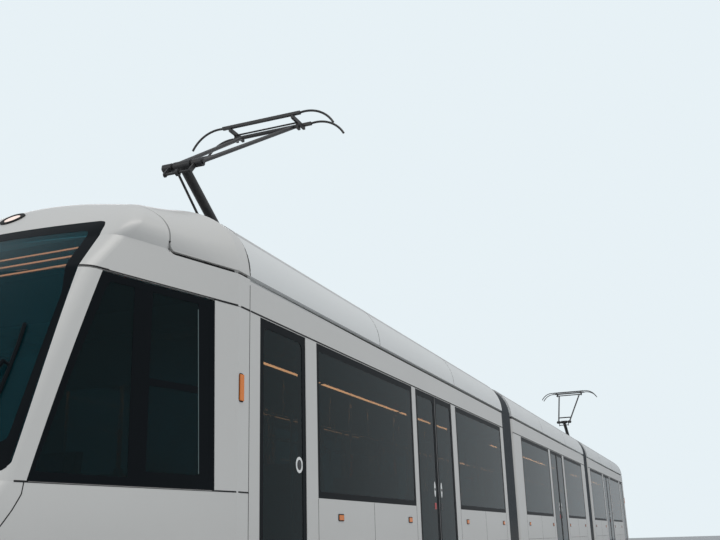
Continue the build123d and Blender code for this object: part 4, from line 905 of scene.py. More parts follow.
def side_window(bm):
    """Border, mullion and sliding pane's rail of the cab's side window."""
    def corners(grow):
        low, top, rear = SILL + grow, GLASS_TOP - grow, -SEAM - PILLAR_REAR - grow
        head, foot = -SEAM - PILLAR_HEAD + grow, -SEAM - PILLAR_FOOT + grow
        return ((rear, low), (rear, top), (head, top), (foot, low))
    outer, inner = soft_outline(corners(0.004), 0.015, 3, 10), soft_outline(corners(0.052), 0.03, 3, 10)
    rows = [[a.lerp(b, k / 2) for k in range(3)] for a, b in zip(outer, inner)]
    add_skin(bm, from_right, rows, closed=True)
    low, top = SILL + 0.04, GLASS_TOP - 0.04
    bands = ((((1.08, low), (0.995, top)), 0.145), (((MULLION, low), (MULLION, top)), 0.11),
             (((1.05, SLIDER_Z), (0.50, SLIDER_Z)), 0.046),
             (((1.05, SILL + 0.06), (0.50, SILL + 0.06)), 0.06))
    for places, width in bands:
        add_cab_line(bm, places, width, 0.2, proud=0.0008)
    edge = MULLION + 0.056
    add_cab_line(bm, ((edge, SILL + 0.10), (edge, GLASS_TOP - 0.09)), 0.006, 0.2, proud=0.001, material=1)


def round_corner(place):
    """Point and normal on the cab's corner, from an angle off the side and a height."""
    degrees, height = place
    way = Vector((math.cos(math.radians(degrees)), -math.sin(math.radians(degrees)), 0))
    point, normal, _, _ = shell.ray_cast(Vector((0.60, -SEAM - 1.0, height)) + way * 2, -way)
    return point, normal if normal.dot(way) > 0 else -normal


def cab_seams(bm):
    """Dark joints along the sill, over the windows, round the roof and on the nose; the wide line in the
    groove under the roof fairing is a joint with painted shadow.
    """
    add_cab_line(bm, ((-0.002, SEAM_Z), (1.29, SEAM_Z)), 0.014, material=1)
    corner = [[(degrees, z) for z in (SEAM_Z - 0.0005, SEAM_Z + 0.011)] for degrees in range(31, 53)]
    add_skin(bm, round_corner, corner, proud=0.0016, material=1)
    add_cab_line(bm, ((-0.002, SILL - 0.001), (1.93, SILL - 0.001)), 0.010, material=1)
    # The groove's line is drawn wide and dark: a joint, and painted shadow of the fairing panel that stands
    # proud of the cab's side.
    add_cab_line(bm, [(ahead, h + RAIL) for ahead, h in GROOVE_JOINT_AND_SHADOW], 0.022, material=1)
    add_cab_line(bm, [(GROOVE_END, h + RAIL) for h in (GROOVE_TOP, CROWN)], 0.011, material=1)
    add_cab_line(bm, [(ahead, h + RAIL) for ahead, h in NOSE_JOINT], 0.006, material=1)
    add_cab_line(bm, ((0.0015, 0.27), (0.0015, 2.70)), 0.005, 0.2, material=1)
    add_roof_joint(bm, -SEAM, 0.006)


end_piece("screen_border", screen_border, [black_paint], mirrored=False, slot="cab_shell")
end_piece("display", display, [black_paint, display_field, display_bars], mirrored=False, slot="fittings")
pane_edge = finish("pane_edge", (0.10, 0.15, 0.155), (0.08, 0.11, 0.115), 0.3)
end_piece("cab_window_border", side_window, [black_paint, pane_edge], slot="cab_shell")
end_piece("cab_seams", cab_seams, [black_paint, rubber], slot="cab_shell")
print("cab skins made")

# %% [markdown]
# The lamps sit in pockets behind clear lenses: two round reflectors and a strip of light for
# each head lamp, and one round lamp in a dark ring above the windscreen. The small amber lamps
# stand in dark bezels. Lens colours are given to the faces of the lamps' CAD node.

# %% Lamps
def lamp_finish(name):
    """Clear lenses for the head and top lamps, amber for the rest."""
    lamp = paint(name, amber_lens, clear_lens)
    for face in lamp.data.polygons:
        centre = face.center
        ahead = abs(centre.y) > SEAM + 0.4
        face.material_index = 1 if ahead else 0


lamp_finish("front_lamps")
lamp_finish("rear_lamps")
HEAD_LAMP_X, HEAD_LAMP_Z = (0.60, 0.88), (0.735 + RAIL, 0.850 + RAIL)
REFLECTOR_X = (0.675, 0.805)


def head_lamps(bm):
    """Pocket, reflectors and light strip behind a head lamp's lens."""
    z = sum(HEAD_LAMP_Z) / 2
    bowl = ((0.0, 0.044), (0.004, 0.048), (0.010, 0.044), (-0.004, 0.036), (-0.020, 0.026),
            (-0.030, 0.012), (-0.032, 0.0))
    for x in REFLECTOR_X:
        face, _ = lens_find((x, z))
        add_turned(bm, (x, face.y + 0.052, z), (0, -1, 0), bowl, 24, 1)
        cap = ((0, 0.014), (0.012, 0.013), (0.018, 0.008), (0.020, 0))
        add_turned(bm, (x, face.y + 0.075, z), (0, -1, 0), cap, 16, 2)
    (x_in, x_out), (low, high) = HEAD_LAMP_X, HEAD_LAMP_Z
    near = lens_find((x_in + 0.01, z))[0].y
    far = lens_find((x_out - 0.01, z))[0].y
    outline = [(x_in - 0.01, near + 0.10), (x_out + 0.01, far + 0.10),
               (x_out + 0.01, far + 0.13), (x_in - 0.01, near + 0.13)]
    base = [bm.verts.new((x, y, low - 0.01)) for x, y in outline]
    top = [bm.verts.new((x, y, high + 0.01)) for x, y in outline]
    bm.faces.new(base)
    bm.faces.new(top[::-1])
    for k in range(4):
        bm.faces.new((base[k], base[(k + 1) % 4], top[(k + 1) % 4], top[k]))
    strip = [lens_find((x, high - 0.012))[0] + Vector((0, 0.03, 0)) for x in (0.62, 0.70, 0.78, 0.86)]
    add_tube(bm, strip, 0.004, 8, 3)


TOP_LAMP_RADIUS = 0.084
TOP_LAMP_Z = 3.071 + RAIL
TOP_LAMP_TILT = math.radians(42.0)
TOP_LAMP_WAY = Vector((0, -math.sin(TOP_LAMP_TILT), math.cos(TOP_LAMP_TILT)))


def top_lamp(bm):
    """Ring, reflector and frosted diffuser of the lamp above the windscreen."""
    place, _ = finder(surface_of("front_lamps"), "front")((0.0, TOP_LAMP_Z))
    r = TOP_LAMP_RADIUS
    ring = ((-0.010, r - 0.022), (0.003, r - 0.024), (0.008, r - 0.010), (0.004, r + 0.004),
            (-0.010, r + 0.005))
    add_turned(bm, place, TOP_LAMP_WAY, ring, 36, 0)
    bowl = ((-0.030, r - 0.012), (-0.028, r - 0.010), (-0.034, 0.055), (-0.046, 0.026), (-0.050, 0.0))
    add_turned(bm, place, TOP_LAMP_WAY, bowl, 32, 1)
    diffuser = ((-0.004, r - 0.024), (0.002, r - 0.028), (0.006, 0.030), (0.007, 0.0))
    add_turned(bm, place, TOP_LAMP_WAY, diffuser, 32, 2)


bulb = glow("lamp_bulb", (0.80, 0.66, 0.60), 0.45)
mirror_metal = finish("reflector_metal", (0.85, 0.86, 0.87), (0.78, 0.79, 0.80), 0.12, metal=1.0,
                      drift=(20.0, 0.2))
end_piece("head_lamps", head_lamps, [dark_plastic, mirror_metal, bulb, pale_mark], slot="lamps")
end_piece("top_lamp_ring", top_lamp, [rubber, mirror_metal, bulb], mirrored=False, slot="lamps")
END_MARKERS = (-11.45, -9.60, -7.31, -5.27)
MIDDLE_MARKERS = (-3.29, -1.03, 1.03, 3.29)
MARKER_Z = 1.075
SIDE_LAMP_Y, SIDE_LAMP_Z = -SEAM - 0.120, 1.927
TAIL_LAMP_X, TAIL_LAMP_Z = (0.62, 0.70, 0.78, 0.86), (0.96, 0.99, 1.02)


def around(y, z, half_length, half_height, radius, steps):
    """Rounded outline round a middle."""
    low, high = (y - half_length, z - half_height), (y + half_length, z + half_height)
    return rounded(low, high, radius, steps)


def marker_bezels(bm, places):
    """Dark bezel round each amber side lamp."""
    for y in places:
        outer = around(y, MARKER_Z, 0.058, 0.029, 0.012, 3)
        inner = around(y, MARKER_Z, 0.0505, 0.0215, 0.004, 3)
        add_frame(bm, outer, inner, HALF - 0.001, HALF + 0.006)


end_piece("marker_bezels", lambda bm: marker_bezels(bm, END_MARKERS), [rubber], slot="lamps")
middle_piece("marker_bezels", lambda bm: marker_bezels(bm, MIDDLE_MARKERS), [rubber], slot="lamps")


def tail_lamps(bm):
    """Side lamp's bezel on the cab's flat band, and the red lamps low on the corner."""
    outer = around(SIDE_LAMP_Y, SIDE_LAMP_Z, 0.033, 0.101, 0.02, 4)
    inner = around(SIDE_LAMP_Y, SIDE_LAMP_Z, 0.0278, 0.0918, 0.004, 4)
    add_frame(bm, outer, inner, HALF - 0.001, HALF + 0.0025)
    places = [[(x, z) for z in TAIL_LAMP_Z] for x in TAIL_LAMP_X]
    add_skin(bm, nose_find, places, proud=0.004, depth=0.004, material=1)


end_piece("tail_lamps", tail_lamps, [rubber, red_lens], slot="lamps")
print("lamps made")

# %% [markdown]
# The gangway is a tube of coated cloth, folded like a concertina and clamped to a metal frame at
# each end. One fold is an arch with a raised ridge. A node group sets as many of them side by
# side as the gap takes.

# %% Gangway bellows
def node_tree_for(name, inputs):
    """Geometry node group with named inputs, its input node and its output node."""
    group = bpy.data.node_groups.new(name, "GeometryNodeTree")
    group.interface.new_socket(name="Geometry", in_out="INPUT", socket_type="NodeSocketGeometry")
    sockets = {}
    for label, kind, value in inputs:
        socket = group.interface.new_socket(name=label, in_out="INPUT", socket_type=kind)
        if value is not None:
            socket.default_value = value
        sockets[label] = socket.identifier
    group.interface.new_socket(name="Geometry", in_out="OUTPUT", socket_type="NodeSocketGeometry")
    return group, sockets, group.nodes.new("NodeGroupInput"), group.nodes.new("NodeGroupOutput")


def grown(name, group, sockets, values, material):
    """Evaluates a node group with its inputs set, and returns the result as a plain object."""
    host = bpy.data.objects.new(name + "_host", bpy.data.meshes.new(name + "_seed"))
    scene.collection.objects.link(host)
    growth = host.modifiers.new("growth", "NODES")
    growth.node_group = group
    for label, value in values.items():
        growth[sockets[label]] = value
    bpy.context.view_layer.update()
    evaluated = host.evaluated_get(bpy.context.evaluated_depsgraph_get())
    mesh = bpy.data.meshes.new_from_object(evaluated)
    mesh.name = name
    host.modifiers.remove(growth)
    bpy.data.objects.remove(host)
    piece = bpy.data.objects.new(name, mesh)
    scene.collection.objects.link(piece)
    if material.name not in [m.name for m in mesh.materials if m]:
        mesh.materials.append(material)
    return piece


def copies_on(group, points, given, wanted):
    """Ends a node group: real, painted copies of the Shape input on points."""
    shape = group.nodes.new("GeometryNodeObjectInfo")
    group.links.new(given.outputs["Shape"], shape.inputs["Object"])
    copies = group.nodes.new("GeometryNodeInstanceOnPoints")
    group.links.new(points, copies.inputs["Points"])
    group.links.new(shape.outputs["Geometry"], copies.inputs["Instance"])
    real = group.nodes.new("GeometryNodeRealizeInstances")
    group.links.new(copies.outputs["Instances"], real.inputs["Geometry"])
    dressed = group.nodes.new("GeometryNodeSetMaterial")
    group.links.new(real.outputs["Geometry"], dressed.inputs["Geometry"])
    group.links.new(given.outputs["Material"], dressed.inputs["Material"])
    group.links.new(dressed.outputs["Geometry"], wanted.inputs["Geometry"])


# Row: copies of one shape at even steps along a line
row, row_sockets, given, wanted = node_tree_for("row_of_copies", (
    ("Shape", "NodeSocketObject", None), ("Count", "NodeSocketInt", 8),
    ("Start", "NodeSocketVector", (0, 0, 0)), ("Step", "NodeSocketVector", (0, 0.1, 0)),
    ("Material", "NodeSocketMaterial", None)))
line = row.nodes.new("GeometryNodeMeshLine")
line.mode = "OFFSET"
row.links.new(given.outputs["Count"], line.inputs["Count"])
row.links.new(given.outputs["Start"], line.inputs["Start Location"])
row.links.new(given.outputs["Step"], line.inputs["Offset"])
copies_on(row, line.outputs["Mesh"], given, wanted)


def repeated(name, build, group, sockets, values, material):
    """Copies of a shape by a node group, as one plain object; build draws it round the origin."""
    bm = bmesh.new()
    build(bm)
    bmesh.ops.recalc_face_normals(bm, faces=bm.faces)
    mesh = bpy.data.meshes.new(name + "_shape")
    bm.to_mesh(mesh)
    bm.free()
    shape_object = bpy.data.objects.new(name + "_shape", mesh)
    scene.collection.objects.link(shape_object)
    piece = grown(name, group, sockets, {"Shape": shape_object, "Material": material, **values}, material)
    bpy.data.objects.remove(shape_object)
    return piece


def row_of(name, build, count, start, step, material):
    """Copies of a shape in a row, as one plain object."""
    return repeated(name, build, row, row_sockets, {"Count": count, "Start": start, "Step": step}, material)


GANGWAY = (4.134, 4.826)
FOLDS = 9
FOLD_PITCH = (GANGWAY[1] - GANGWAY[0]) / FOLDS
FOLD_DEPTH = 0.075
CLOTH = 0.006
SHOULDER = 0.498
ARCH = [(1.285, 0.33), (1.298, 0.60), (1.302, 1.20), (1.302, 1.90), (1.302, 2.60)]
for degrees in range(5, 75, 11):
    angle = math.radians(degrees)
    ARCH.append((0.805 + SHOULDER * math.cos(angle), 2.748 + SHOULDER * math.sin(angle)))
ARCH += [(0.72, 3.262), (0.45, 3.288), (0.15, 3.296)]


def arch_points(inwards):
    """Points of the gangway's arch from foot to foot, moved inwards."""
    points = [(x, h + RAIL) for x, h in ARCH]
    points += [(-x, z) for x, z in reversed(points)]
    moved = []
    for index, (x, z) in enumerate(points):
        a, b = points[max(index - 1, 0)], points[min(index + 1, len(points) - 1)]
        along = Vector((b[0] - a[0], b[1] - a[1])).normalized()
        moved.append((x - along.y * inwards, z + along.x * inwards) if index else (x - inwards, z))
    moved[-1] = (-moved[0][0], moved[0][1])
    return moved


def one_fold(bm):
    """One fold of the gangway: valley, ridge and valley, with the cloth's thickness."""
    section = ((-0.5, FOLD_DEPTH), (-0.34, 0.020), (-0.16, 0.002), (0.0, 0.0), (0.16, 0.002),
               (0.34, 0.020), (0.5, FOLD_DEPTH))
    loop = [*section, *((y, depth + CLOTH) for y, depth in reversed(section))]
    rings = []
    for y, depth in loop:
        rings.append([bm.verts.new((x, y * FOLD_PITCH, z)) for x, z in arch_points(depth)])
    for first, second in zip(rings, rings[1:] + rings[:1]):
        for k in range(len(first) - 1):
            bm.faces.new((first[k], first[k + 1], second[k + 1], second[k]))
    for k in (0, -1):
        bm.faces.new([ring[k] for ring in rings])


cloth_blue = finish("bellows_cloth", (0.026, 0.034, 0.042), (0.04, 0.048, 0.056), 0.55,
                    drift=(3.0, 0.5), dust_level=(1.2, 0.5), grain_size=(600.0, 0.25, 0.0006))
for end, side in (("front", -1), ("rear", 1)):
    start = (0.0, side * (GANGWAY[0] + FOLD_PITCH / 2), 0.0)
    step = (0.0, side * FOLD_PITCH, 0.0)
    bellows = row_of(f"{end}_gangway_folds", one_fold, FOLDS, start, step, cloth_blue)
    shade(bellows.data, 50)
    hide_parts(f"{end}_bellows")
    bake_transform(bellows)
print("bellows made")

# %% [markdown]
# Inside, the seats are moulded shells with thin cushions, on the wheel boxes and beside the
# doors. A pad is a puffed rectangle: its face rises towards the middle and rolls over at the
# edges, as foam under tight cloth does. Poles, a rail under the ceiling and its straps follow.

# %% Cushions
def add_pad(bm, centre, across, up_way, size, puff=0.35, cells=6):
    """Cushion of (width, length, thickness) round a centre, with its face along across x up_way."""
    width, length, thick = size
    across, up_way = Vector(across).normalized(), Vector(up_way).normalized()
    out = across.cross(up_way).normalized()
    grids = []
    for layer in (1, -1):
        grid = []
        for i in range(cells + 1):
            line = []
            for j in range(cells + 1):
                u, v = 2 * i / cells - 1, 2 * j / cells - 1
                dome = (1 - abs(u) ** 3.0) * (1 - abs(v) ** 3.0)
                rise = thick / 2 * (puff + (1 - puff) * dome) if layer > 0 else -thick / 2
                shrink = 1.0 if layer > 0 else 0.96
                flat = across * (u * width / 2 * shrink) + up_way * (v * length / 2 * shrink)
                line.append(bm.verts.new(Vector(centre) + flat + out * rise))
            grid.append(line)
        grids.append(grid)
    top, low = grids
    for i in range(cells):
        for j in range(cells):
            bm.faces.new((top[i][j], top[i + 1][j], top[i + 1][j + 1], top[i][j + 1]))
            bm.faces.new((low[i][j], low[i][j + 1], low[i + 1][j + 1], low[i + 1][j]))
    rim = [(i, 0) for i in range(cells)] + [(cells, j) for j in range(cells)]
    rim += [(cells - i, cells) for i in range(cells)] + [(0, cells - j) for j in range(cells)]
    for a, b in zip(rim, rim[1:] + rim[:1]):
        bm.faces.new((top[a[0]][a[1]], low[a[0]][a[1]], low[b[0]][b[1]], top[b[0]][b[1]]))


def add_seat_pads(bm, x, y, facing, top):
    """Seat pad and back pad of one seat; y is where the back meets the seat."""
    add_pad(bm, (x, y + facing * 0.235, top + 0.014), (1, 0, 0), (0, 1, 0), (0.335, 0.41, 0.055))
    lean = Vector((0, -facing * 0.09, 0.64)).normalized()
    middle = Vector((x, y + facing * 0.02, top)) + lean * 0.36 + Vector((0, facing * 0.016, 0))
    add_pad(bm, middle, (-facing, 0, 0), lean, (0.335, 0.52, 0.05))


SEAT_X = (0.682, 1.040)
HALF_BAY = 0.882


def bay_pads(bm, bays):
    """Pads of the facing pairs in each bay: (centre of the bay, height of the seats)."""
    for centre, top in bays:
        for facing in (-1, 1):
            y = centre - facing * HALF_BAY
            for x in SEAT_X:
                add_seat_pads(bm, x, y, facing, top)


cloth = finish("seat_cloth", (0.035, 0.07, 0.16), (0.06, 0.11, 0.20), 0.85,
               drift=(28.0, 0.6), grain_size=(900.0, 0.5, 0.0008))
moquette = cloth.node_tree
weave = moquette.nodes.new("ShaderNodeTexWave")
weave.inputs["Scale"].default_value = 60.0
weave.inputs["Distortion"].default_value = 6.0
moquette.links.new(moquette.nodes.new("ShaderNodeTexCoord").outputs["Object"], weave.inputs["Vector"])
cloth_colour = moquette.nodes["Principled BSDF"].inputs["Base Color"]
flecks = math_node(moquette, "MULTIPLY", weave.outputs["Fac"], 0.35)
flecked = colour_mix(moquette, flecks, cloth_colour.links[0].from_socket, (0.10, 0.16, 0.28, 1.0))
moquette.links.new(flecked, cloth_colour)

SEAT_TOP, LOW_SEAT_TOP = 0.870 + RAIL, 0.800 + RAIL
END_BAYS = ((-10.64, SEAT_TOP), (-6.34, LOW_SEAT_TOP))
MIDDLE_BAYS = ((-2.23, SEAT_TOP), (2.23, SEAT_TOP))


def driver_pads(bm):
    """Pads of the driver's seat, which stands on the middle line."""
    add_seat_pads(bm, 0.0, -SEAM - 0.560, -1, 0.860 + RAIL)


end_piece("seat_cushions", lambda bm: bay_pads(bm, END_BAYS), [cloth], slot="seats", smooth=60)
end_piece("driver_cushions", driver_pads, [cloth], mirrored=False, slot="seats", smooth=60)
middle_piece("seat_cushions", lambda bm: bay_pads(bm, MIDDLE_BAYS), [cloth], slot="seats", smooth=60)
print("cushions made")

# %% [markdown]
# The poles come from the CAD model and get their metal here, face by face. The ceiling has a row
# of long diffusers at each side, and a rail with hanging straps runs below it from door to door.

# %% Poles, rails, straps and ceiling lights
for name in ("front_fittings", "rear_fittings"):
    fittings = paint(name, steel, inner_panel, dark_plastic)
    for face in fittings.data.polygons:
        ahead = abs(face.center.y) - SEAM
        face.material_index = 0 if ahead < 0 else 1 if ahead < 0.12 else 2
paint("middle_fittings", steel)
HANDRAIL_X, HANDRAIL_Z = 0.46, 2.06
SLEEVE_LOW, SLEEVE_LENGTH, STOP_BUTTON_Z = 1.10, 0.78, 1.48
LIGHT_LENGTH = 2.6
END_POLES = ((-12.06, 0.52), (-9.22, 0.52), (-7.73, 0.52), (-5.56, 0.42))
MIDDLE_POLES = ((-0.79, 0.52), (0.79, 0.52), (-3.85, 0.62), (3.85, 0.62))


def pole_details(bm, places):
    """Flanges of each pole, and the coloured sleeve that carries the stop button."""
    flange = ((0, 0.045), (0.006, 0.044), (0.012, 0.026), (0.03, 0.020))
    button = ((0, 0.018), (0.008, 0.016), (0.010, 0))
    sleeve = ((0, 0.0175), (0, 0.0205), (SLEEVE_LENGTH, 0.0205), (SLEEVE_LENGTH, 0.0175))
    for y, x in places:
        for z, way in ((FLOOR + 0.001, 1), (CEILING - 0.001, -1)):
            add_turned(bm, (x, y, z), (0, 0, way), flange, 20, 0)
        add_turned(bm, (x, y, SLEEVE_LOW), (0, 0, 1), sleeve, 20, 1)
        low, high = STOP_BUTTON_Z - 0.06, STOP_BUTTON_Z + 0.06
        add_box(bm, (x - 0.03, y - 0.025, low), (x + 0.03, y + 0.025, high), 2)
        add_turned(bm, (x + 0.028, y, STOP_BUTTON_Z), (1, 0, 0), button, 16, 3)


def add_rail(bm, y_low, y_high):
    """Rail under the ceiling on short hangers."""
    x, z = HANDRAIL_X, HANDRAIL_Z
    add_tube(bm, [(x, y_low, z), (x, y_high, z)], 0.015, 12, 0)
    count = max(2, round((y_high - y_low) / 1.2))
    for k in range(count + 1):
        y = y_low + 0.05 + (y_high - y_low - 0.1) * k / count
        add_tube(bm, [(x, y, z), (x, y, CEILING)], 0.008, 8, 0)


def add_poles_and_rail(bm, poles, y_low, y_high):
    """Poles' fittings and handrail of one section."""
    pole_details(bm, poles)
    add_rail(bm, y_low, y_high)


pole_materials = [steel, orange_pole, dark_plastic, red_mark]
end_piece("rails", lambda bm: add_poles_and_rail(bm, END_POLES, -12.0, -5.0), pole_materials,
          slot="fittings")
middle_piece("rails", lambda bm: add_poles_and_rail(bm, MIDDLE_POLES, -4.0, 4.0), pole_materials,
             slot="fittings")


def one_strap(bm):
    """Hanging strap with a grip, for both sides of the aisle."""
    for x in (-HANDRAIL_X, HANDRAIL_X):
        add_box(bm, (x - 0.010, -0.017, -0.18), (x + 0.010, 0.017, 0.018))
        grip = [(x, y, z) for y, z in ellipse((0, -0.235), (0.055, 0.055), 12)]
        add_tube(bm, grip, 0.008, 6, closed=True)


for section, start, count in (("front", -11.6, 12), ("middle", -3.6, 13), ("rear", 5.2, 12)):
    first = (0.0, start, HANDRAIL_Z)
    straps = row_of(f"{section}_straps", one_strap, count, first, (0.0, 0.58, 0.0), dark_plastic)
    shade(straps.data, 40)
    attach(straps, f"{section}_module")


def ceiling_lights(bm, y_low, y_high):
    """Row of long diffusers in pale frames."""
    count = max(1, round((y_high - y_low) / LIGHT_LENGTH))
    length = (y_high - y_low) / count
    for k in range(count):
        low, high = y_low + k * length + 0.03, y_low + (k + 1) * length - 0.03
        add_box(bm, (0.695, low, CEILING - 0.014), (0.765, high, CEILING - 0.001), 0)
        add_box(bm, (0.710, low + 0.02, CEILING - 0.018), (0.750, high - 0.02, CEILING - 0.012), 1)


light_materials = [inner_panel, warm_light]
end_piece("ceiling_lights", lambda bm: ceiling_lights(bm, -12.9, -5.7), light_materials, slot="lamps")
middle_piece("ceiling_lights", lambda bm: ceiling_lights(bm, -3.3, 3.3), light_materials, slot="lamps")
print("interior made")

# %% [markdown]
# The driver's desk carries two screens, a lever for driving and braking, a row of push buttons
# and a microphone on a stalk. A roller blind hangs at the top of the windscreen, the wipers are
# parked upright beside the pillars, and a dark lining closes the cab's ceiling.

# %% Driver's desk, blind and wipers
SCREEN_X, LEVER_X = 0.30, -0.52
BLIND_Y, BLIND_LOW, BLIND_TOP = -SEAM - 1.02, 2.62, 2.80


def desk_gear(bm):
    """Screens, lever, buttons and microphone; materials: dark, steel, glass, red, pale."""
    y = -SEAM - 1.47
    z = 1.118 + RAIL
    for x in (-SCREEN_X, SCREEN_X):
        add_box(bm, (x - 0.15, y - 0.12, z + 0.03), (x + 0.15, y - 0.085, z + 0.22), 0)
        add_box(bm, (x - 0.13, y - 0.086, z + 0.045), (x + 0.13, y - 0.082, z + 0.205), 2)
        add_box(bm, (x - 0.03, y - 0.11, z - 0.02), (x + 0.03, y - 0.09, z + 0.04), 0)
    add_tube(bm, [(LEVER_X, y + 0.16, z - 0.05), (LEVER_X, y + 0.15, z + 0.10)], 0.012, 10, 1)
    knob = ((0, 0.012), (0.01, 0.026), (0.035, 0.028), (0.05, 0.018), (0.054, 0))
    add_turned(bm, (LEVER_X, y + 0.15, z + 0.09), (0, 0, 1), knob, 16, 0)
    for k in range(9):
        button = ((0, 0.014), (0.014, 0.013), (0.018, 0))
        colour = 3 if k in (0, 8) else 4
        add_turned(bm, (-0.20 + 0.05 * k, y + 0.10, z - 0.012), (0, 0, 1), button, 14, colour)
    stalk = [(0.55, y + 0.05, z - 0.02), (0.56, y + 0.06, z + 0.10), (0.54, y + 0.10, z + 0.20),
             (0.50, y + 0.15, z + 0.26)]
    add_tube(bm, stalk, 0.005, 8, 0)
    capsule = ((0, 0.010), (0.01, 0.014), (0.04, 0.014), (0.046, 0))
    add_turned(bm, stalk[-1], (-0.4, 0.6, 0.3), capsule, 12, 0)


def wiper(bm):
    """Two arms with long blades, parked upright beside the pillars."""
    blade_route = ((0.862, 1.42), (0.858, 1.56), (0.850, 1.70), (0.838, 1.84), (0.822, 1.98),
                   (0.802, 2.105))
    hub = ((-0.004, 0.030), (0.016, 0.028), (0.022, 0.014), (0.024, 0))
    for side in (-1, 1):
        def on_glass(x, z, proud):
            point, normal = from_front((side * x, z))
            return point + normal * proud
        foot = on_glass(0.66, SCREEN_LOW + 0.05, 0.004)
        arm = [foot, on_glass(0.70, 1.40, 0.030), on_glass(0.76, 1.62, 0.036), on_glass(0.80, 1.86, 0.030)]
        blade = [on_glass(x, z, 0.012) for x, z in blade_route]
        add_tube(bm, arm, 0.013, 8, 0)
        add_tube(bm, blade, 0.011, 8, 0)
        add_tube(bm, [arm[-1], blade[3]], 0.009, 8, 0)
        add_turned(bm, foot, (0, -1, 0.4), hub, 18, 0)


def blind(bm):
    """Roller of the sun blind, its cloth and the bar that it hangs by."""
    add_tube(bm, [(-0.70, BLIND_Y, BLIND_TOP), (0.70, BLIND_Y, BLIND_TOP)], 0.03, 16, 0)
    add_box(bm, (-0.68, BLIND_Y - 0.032, BLIND_LOW), (0.68, BLIND_Y - 0.029, BLIND_TOP), 0)
    add_tube(bm, [(-0.68, BLIND_Y - 0.03, BLIND_LOW), (0.68, BLIND_Y - 0.03, BLIND_LOW)], 0.008, 10, 1)


def cab_lining(bm):
    """Dark lining under the cab's roof, with rounded corners."""
    rear, front = -SEAM - 0.12, -SEAM - 1.15
    outline = soft_outline([(-0.92, rear), (0.92, rear), (0.92, front), (-0.92, front)], 0.08, 4, 3)
    rings = [[bm.verts.new((x, y, z)) for x, y in outline] for z in (2.598, 2.612)]
    for k in range(len(outline)):
        j = (k + 1) % len(outline)
        bm.faces.new((rings[0][k], rings[0][j], rings[1][j], rings[1][k]))
    bm.faces.new(rings[0][::-1])
    bm.faces.new(rings[1])


desk_materials = [dark_plastic, steel, black_paint, red_mark, pale_mark]
end_piece("desk_gear", desk_gear, desk_materials, mirrored=False, slot="fittings")
end_piece("wipers", wiper, [black_paint], mirrored=False, slot="cab_shell")
end_piece("blind", blind, [dark_plastic, steel], mirrored=False, slot="fittings")
end_piece("cab_lining", cab_lining, [dark_plastic], mirrored=False, slot="fittings")
print("desk, wipers and blind made")

# %% [markdown]
# The roof carries the converters, the air conditioning and the brake resistors in low boxes with
# louvred sides. A node group repeats the slats, and cables run between the boxes.

# %% Roof equipment
DECK = 2.7475 + RAIL
END_BOXES = ((0.72, -8.10, -5.40, 3.190), (0.70, -9.90, -8.40, 3.120))
MIDDLE_BOXES = ((0.72, -3.50, -0.90, 3.190), (0.70, -0.60, 0.90, 3.120), (0.64, 1.20, 3.40, 3.150))
SLAT_PITCH = 0.055
FAN_COVER = ((0, 0.20), (0.016, 0.19), (0.018, 0.16), (0.010, 0.15), (0.010, 0.0))
LIFTING_EYE = ((0, 0.02), (0.03, 0.018), (0.034, 0))


def slat_for(half, top):
    """Draws one sloping slat on both flanks of a box."""
    def build(bm):
        low, high = DECK + 0.07, top + RAIL - 0.08
        for x in (-half, half):
            out = 0.012 if x > 0 else -0.012
            corners = [(x - out * 0.1, -0.018), (x + out, -0.006), (x + out, 0.0), (x - out * 0.1, 0.012)]
            base = [bm.verts.new((a, b, low)) for a, b in corners]
            peak = [bm.verts.new((a, b, high)) for a, b in corners]
            bm.faces.new(base[::-1])
            bm.faces.new(peak)
            for k in range(4):
                bm.faces.new((base[k], base[(k + 1) % 4], peak[(k + 1) % 4], peak[k]))
    return build


def box_slats(name, body, boxes, turn):
    """Rows of slats on every roof box of a section."""
    for index, (half, y_low, y_high, top) in enumerate(boxes):
        count = int((y_high - y_low - 0.3) / SLAT_PITCH)
        start = (0.0, y_low + 0.15, 0.0)
        step = (0.0, SLAT_PITCH, 0.0)
        slats = row_of(f"{name}_slats_{index}", slat_for(half, top), count, start, step, roof_grey)
        if turn:
            slats.data.transform(Matrix.Rotation(math.pi, 4, "Z"))
        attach(slats, body)


box_slats("front", "front_module", END_BOXES, False)
box_slats("rear", "rear_module", END_BOXES, True)
box_slats("middle", "middle_module", MIDDLE_BOXES, False)


def roof_gear(bm, boxes, cable_low, cable_high):
    """Lids, lifting eyes and fans on the boxes, and the cables beside them."""
    for half, y_low, y_high, top in boxes:
        z = top + RAIL
        count = max(1, round((y_high - y_low) / 1.1))
        step = (y_high - y_low - 0.12) / count
        for k in range(count):
            a, b = y_low + 0.06 + k * step + 0.02, y_low + 0.06 + (k + 1) * step - 0.02
            add_box(bm, (0.02, a, z - 0.002), (half - 0.06, b, z + 0.008), 0)
            add_turned(bm, (half / 2, (a + b) / 2, z + 0.006), (0, 0, 1), FAN_COVER, 28, 1)
        for y in (y_low + 0.05, y_high - 0.05):
            add_turned(bm, (half - 0.08, y, z - 0.02), (0, 0, 1), LIFTING_EYE, 12, 2)
    for x, radius in ((0.84, 0.020), (0.885, 0.016), (0.93, 0.020)):
        add_tube(bm, [(x, cable_low, DECK + 0.03), (x, cable_high, DECK + 0.03)], radius, 10, 3)
    count = int((cable_high - cable_low) / 0.9)
    for k in range(count + 1):
        y = cable_low + 0.05 + k * (cable_high - cable_low - 0.1) / count
        add_box(bm, (0.80, y - 0.02, DECK), (0.97, y + 0.02, DECK + 0.055), 2)


gear_materials = [roof_grey, dark_plastic, steel, rubber]
end_piece("roof_gear", lambda bm: roof_gear(bm, END_BOXES, -12.7, -4.95), gear_materials,
          bevel=0.003, slot="roof")
middle_piece("roof_gear", lambda bm: roof_gear(bm, MIDDLE_BOXES, -4.05, 4.05), gear_materials,
             bevel=0.003, slot="roof")


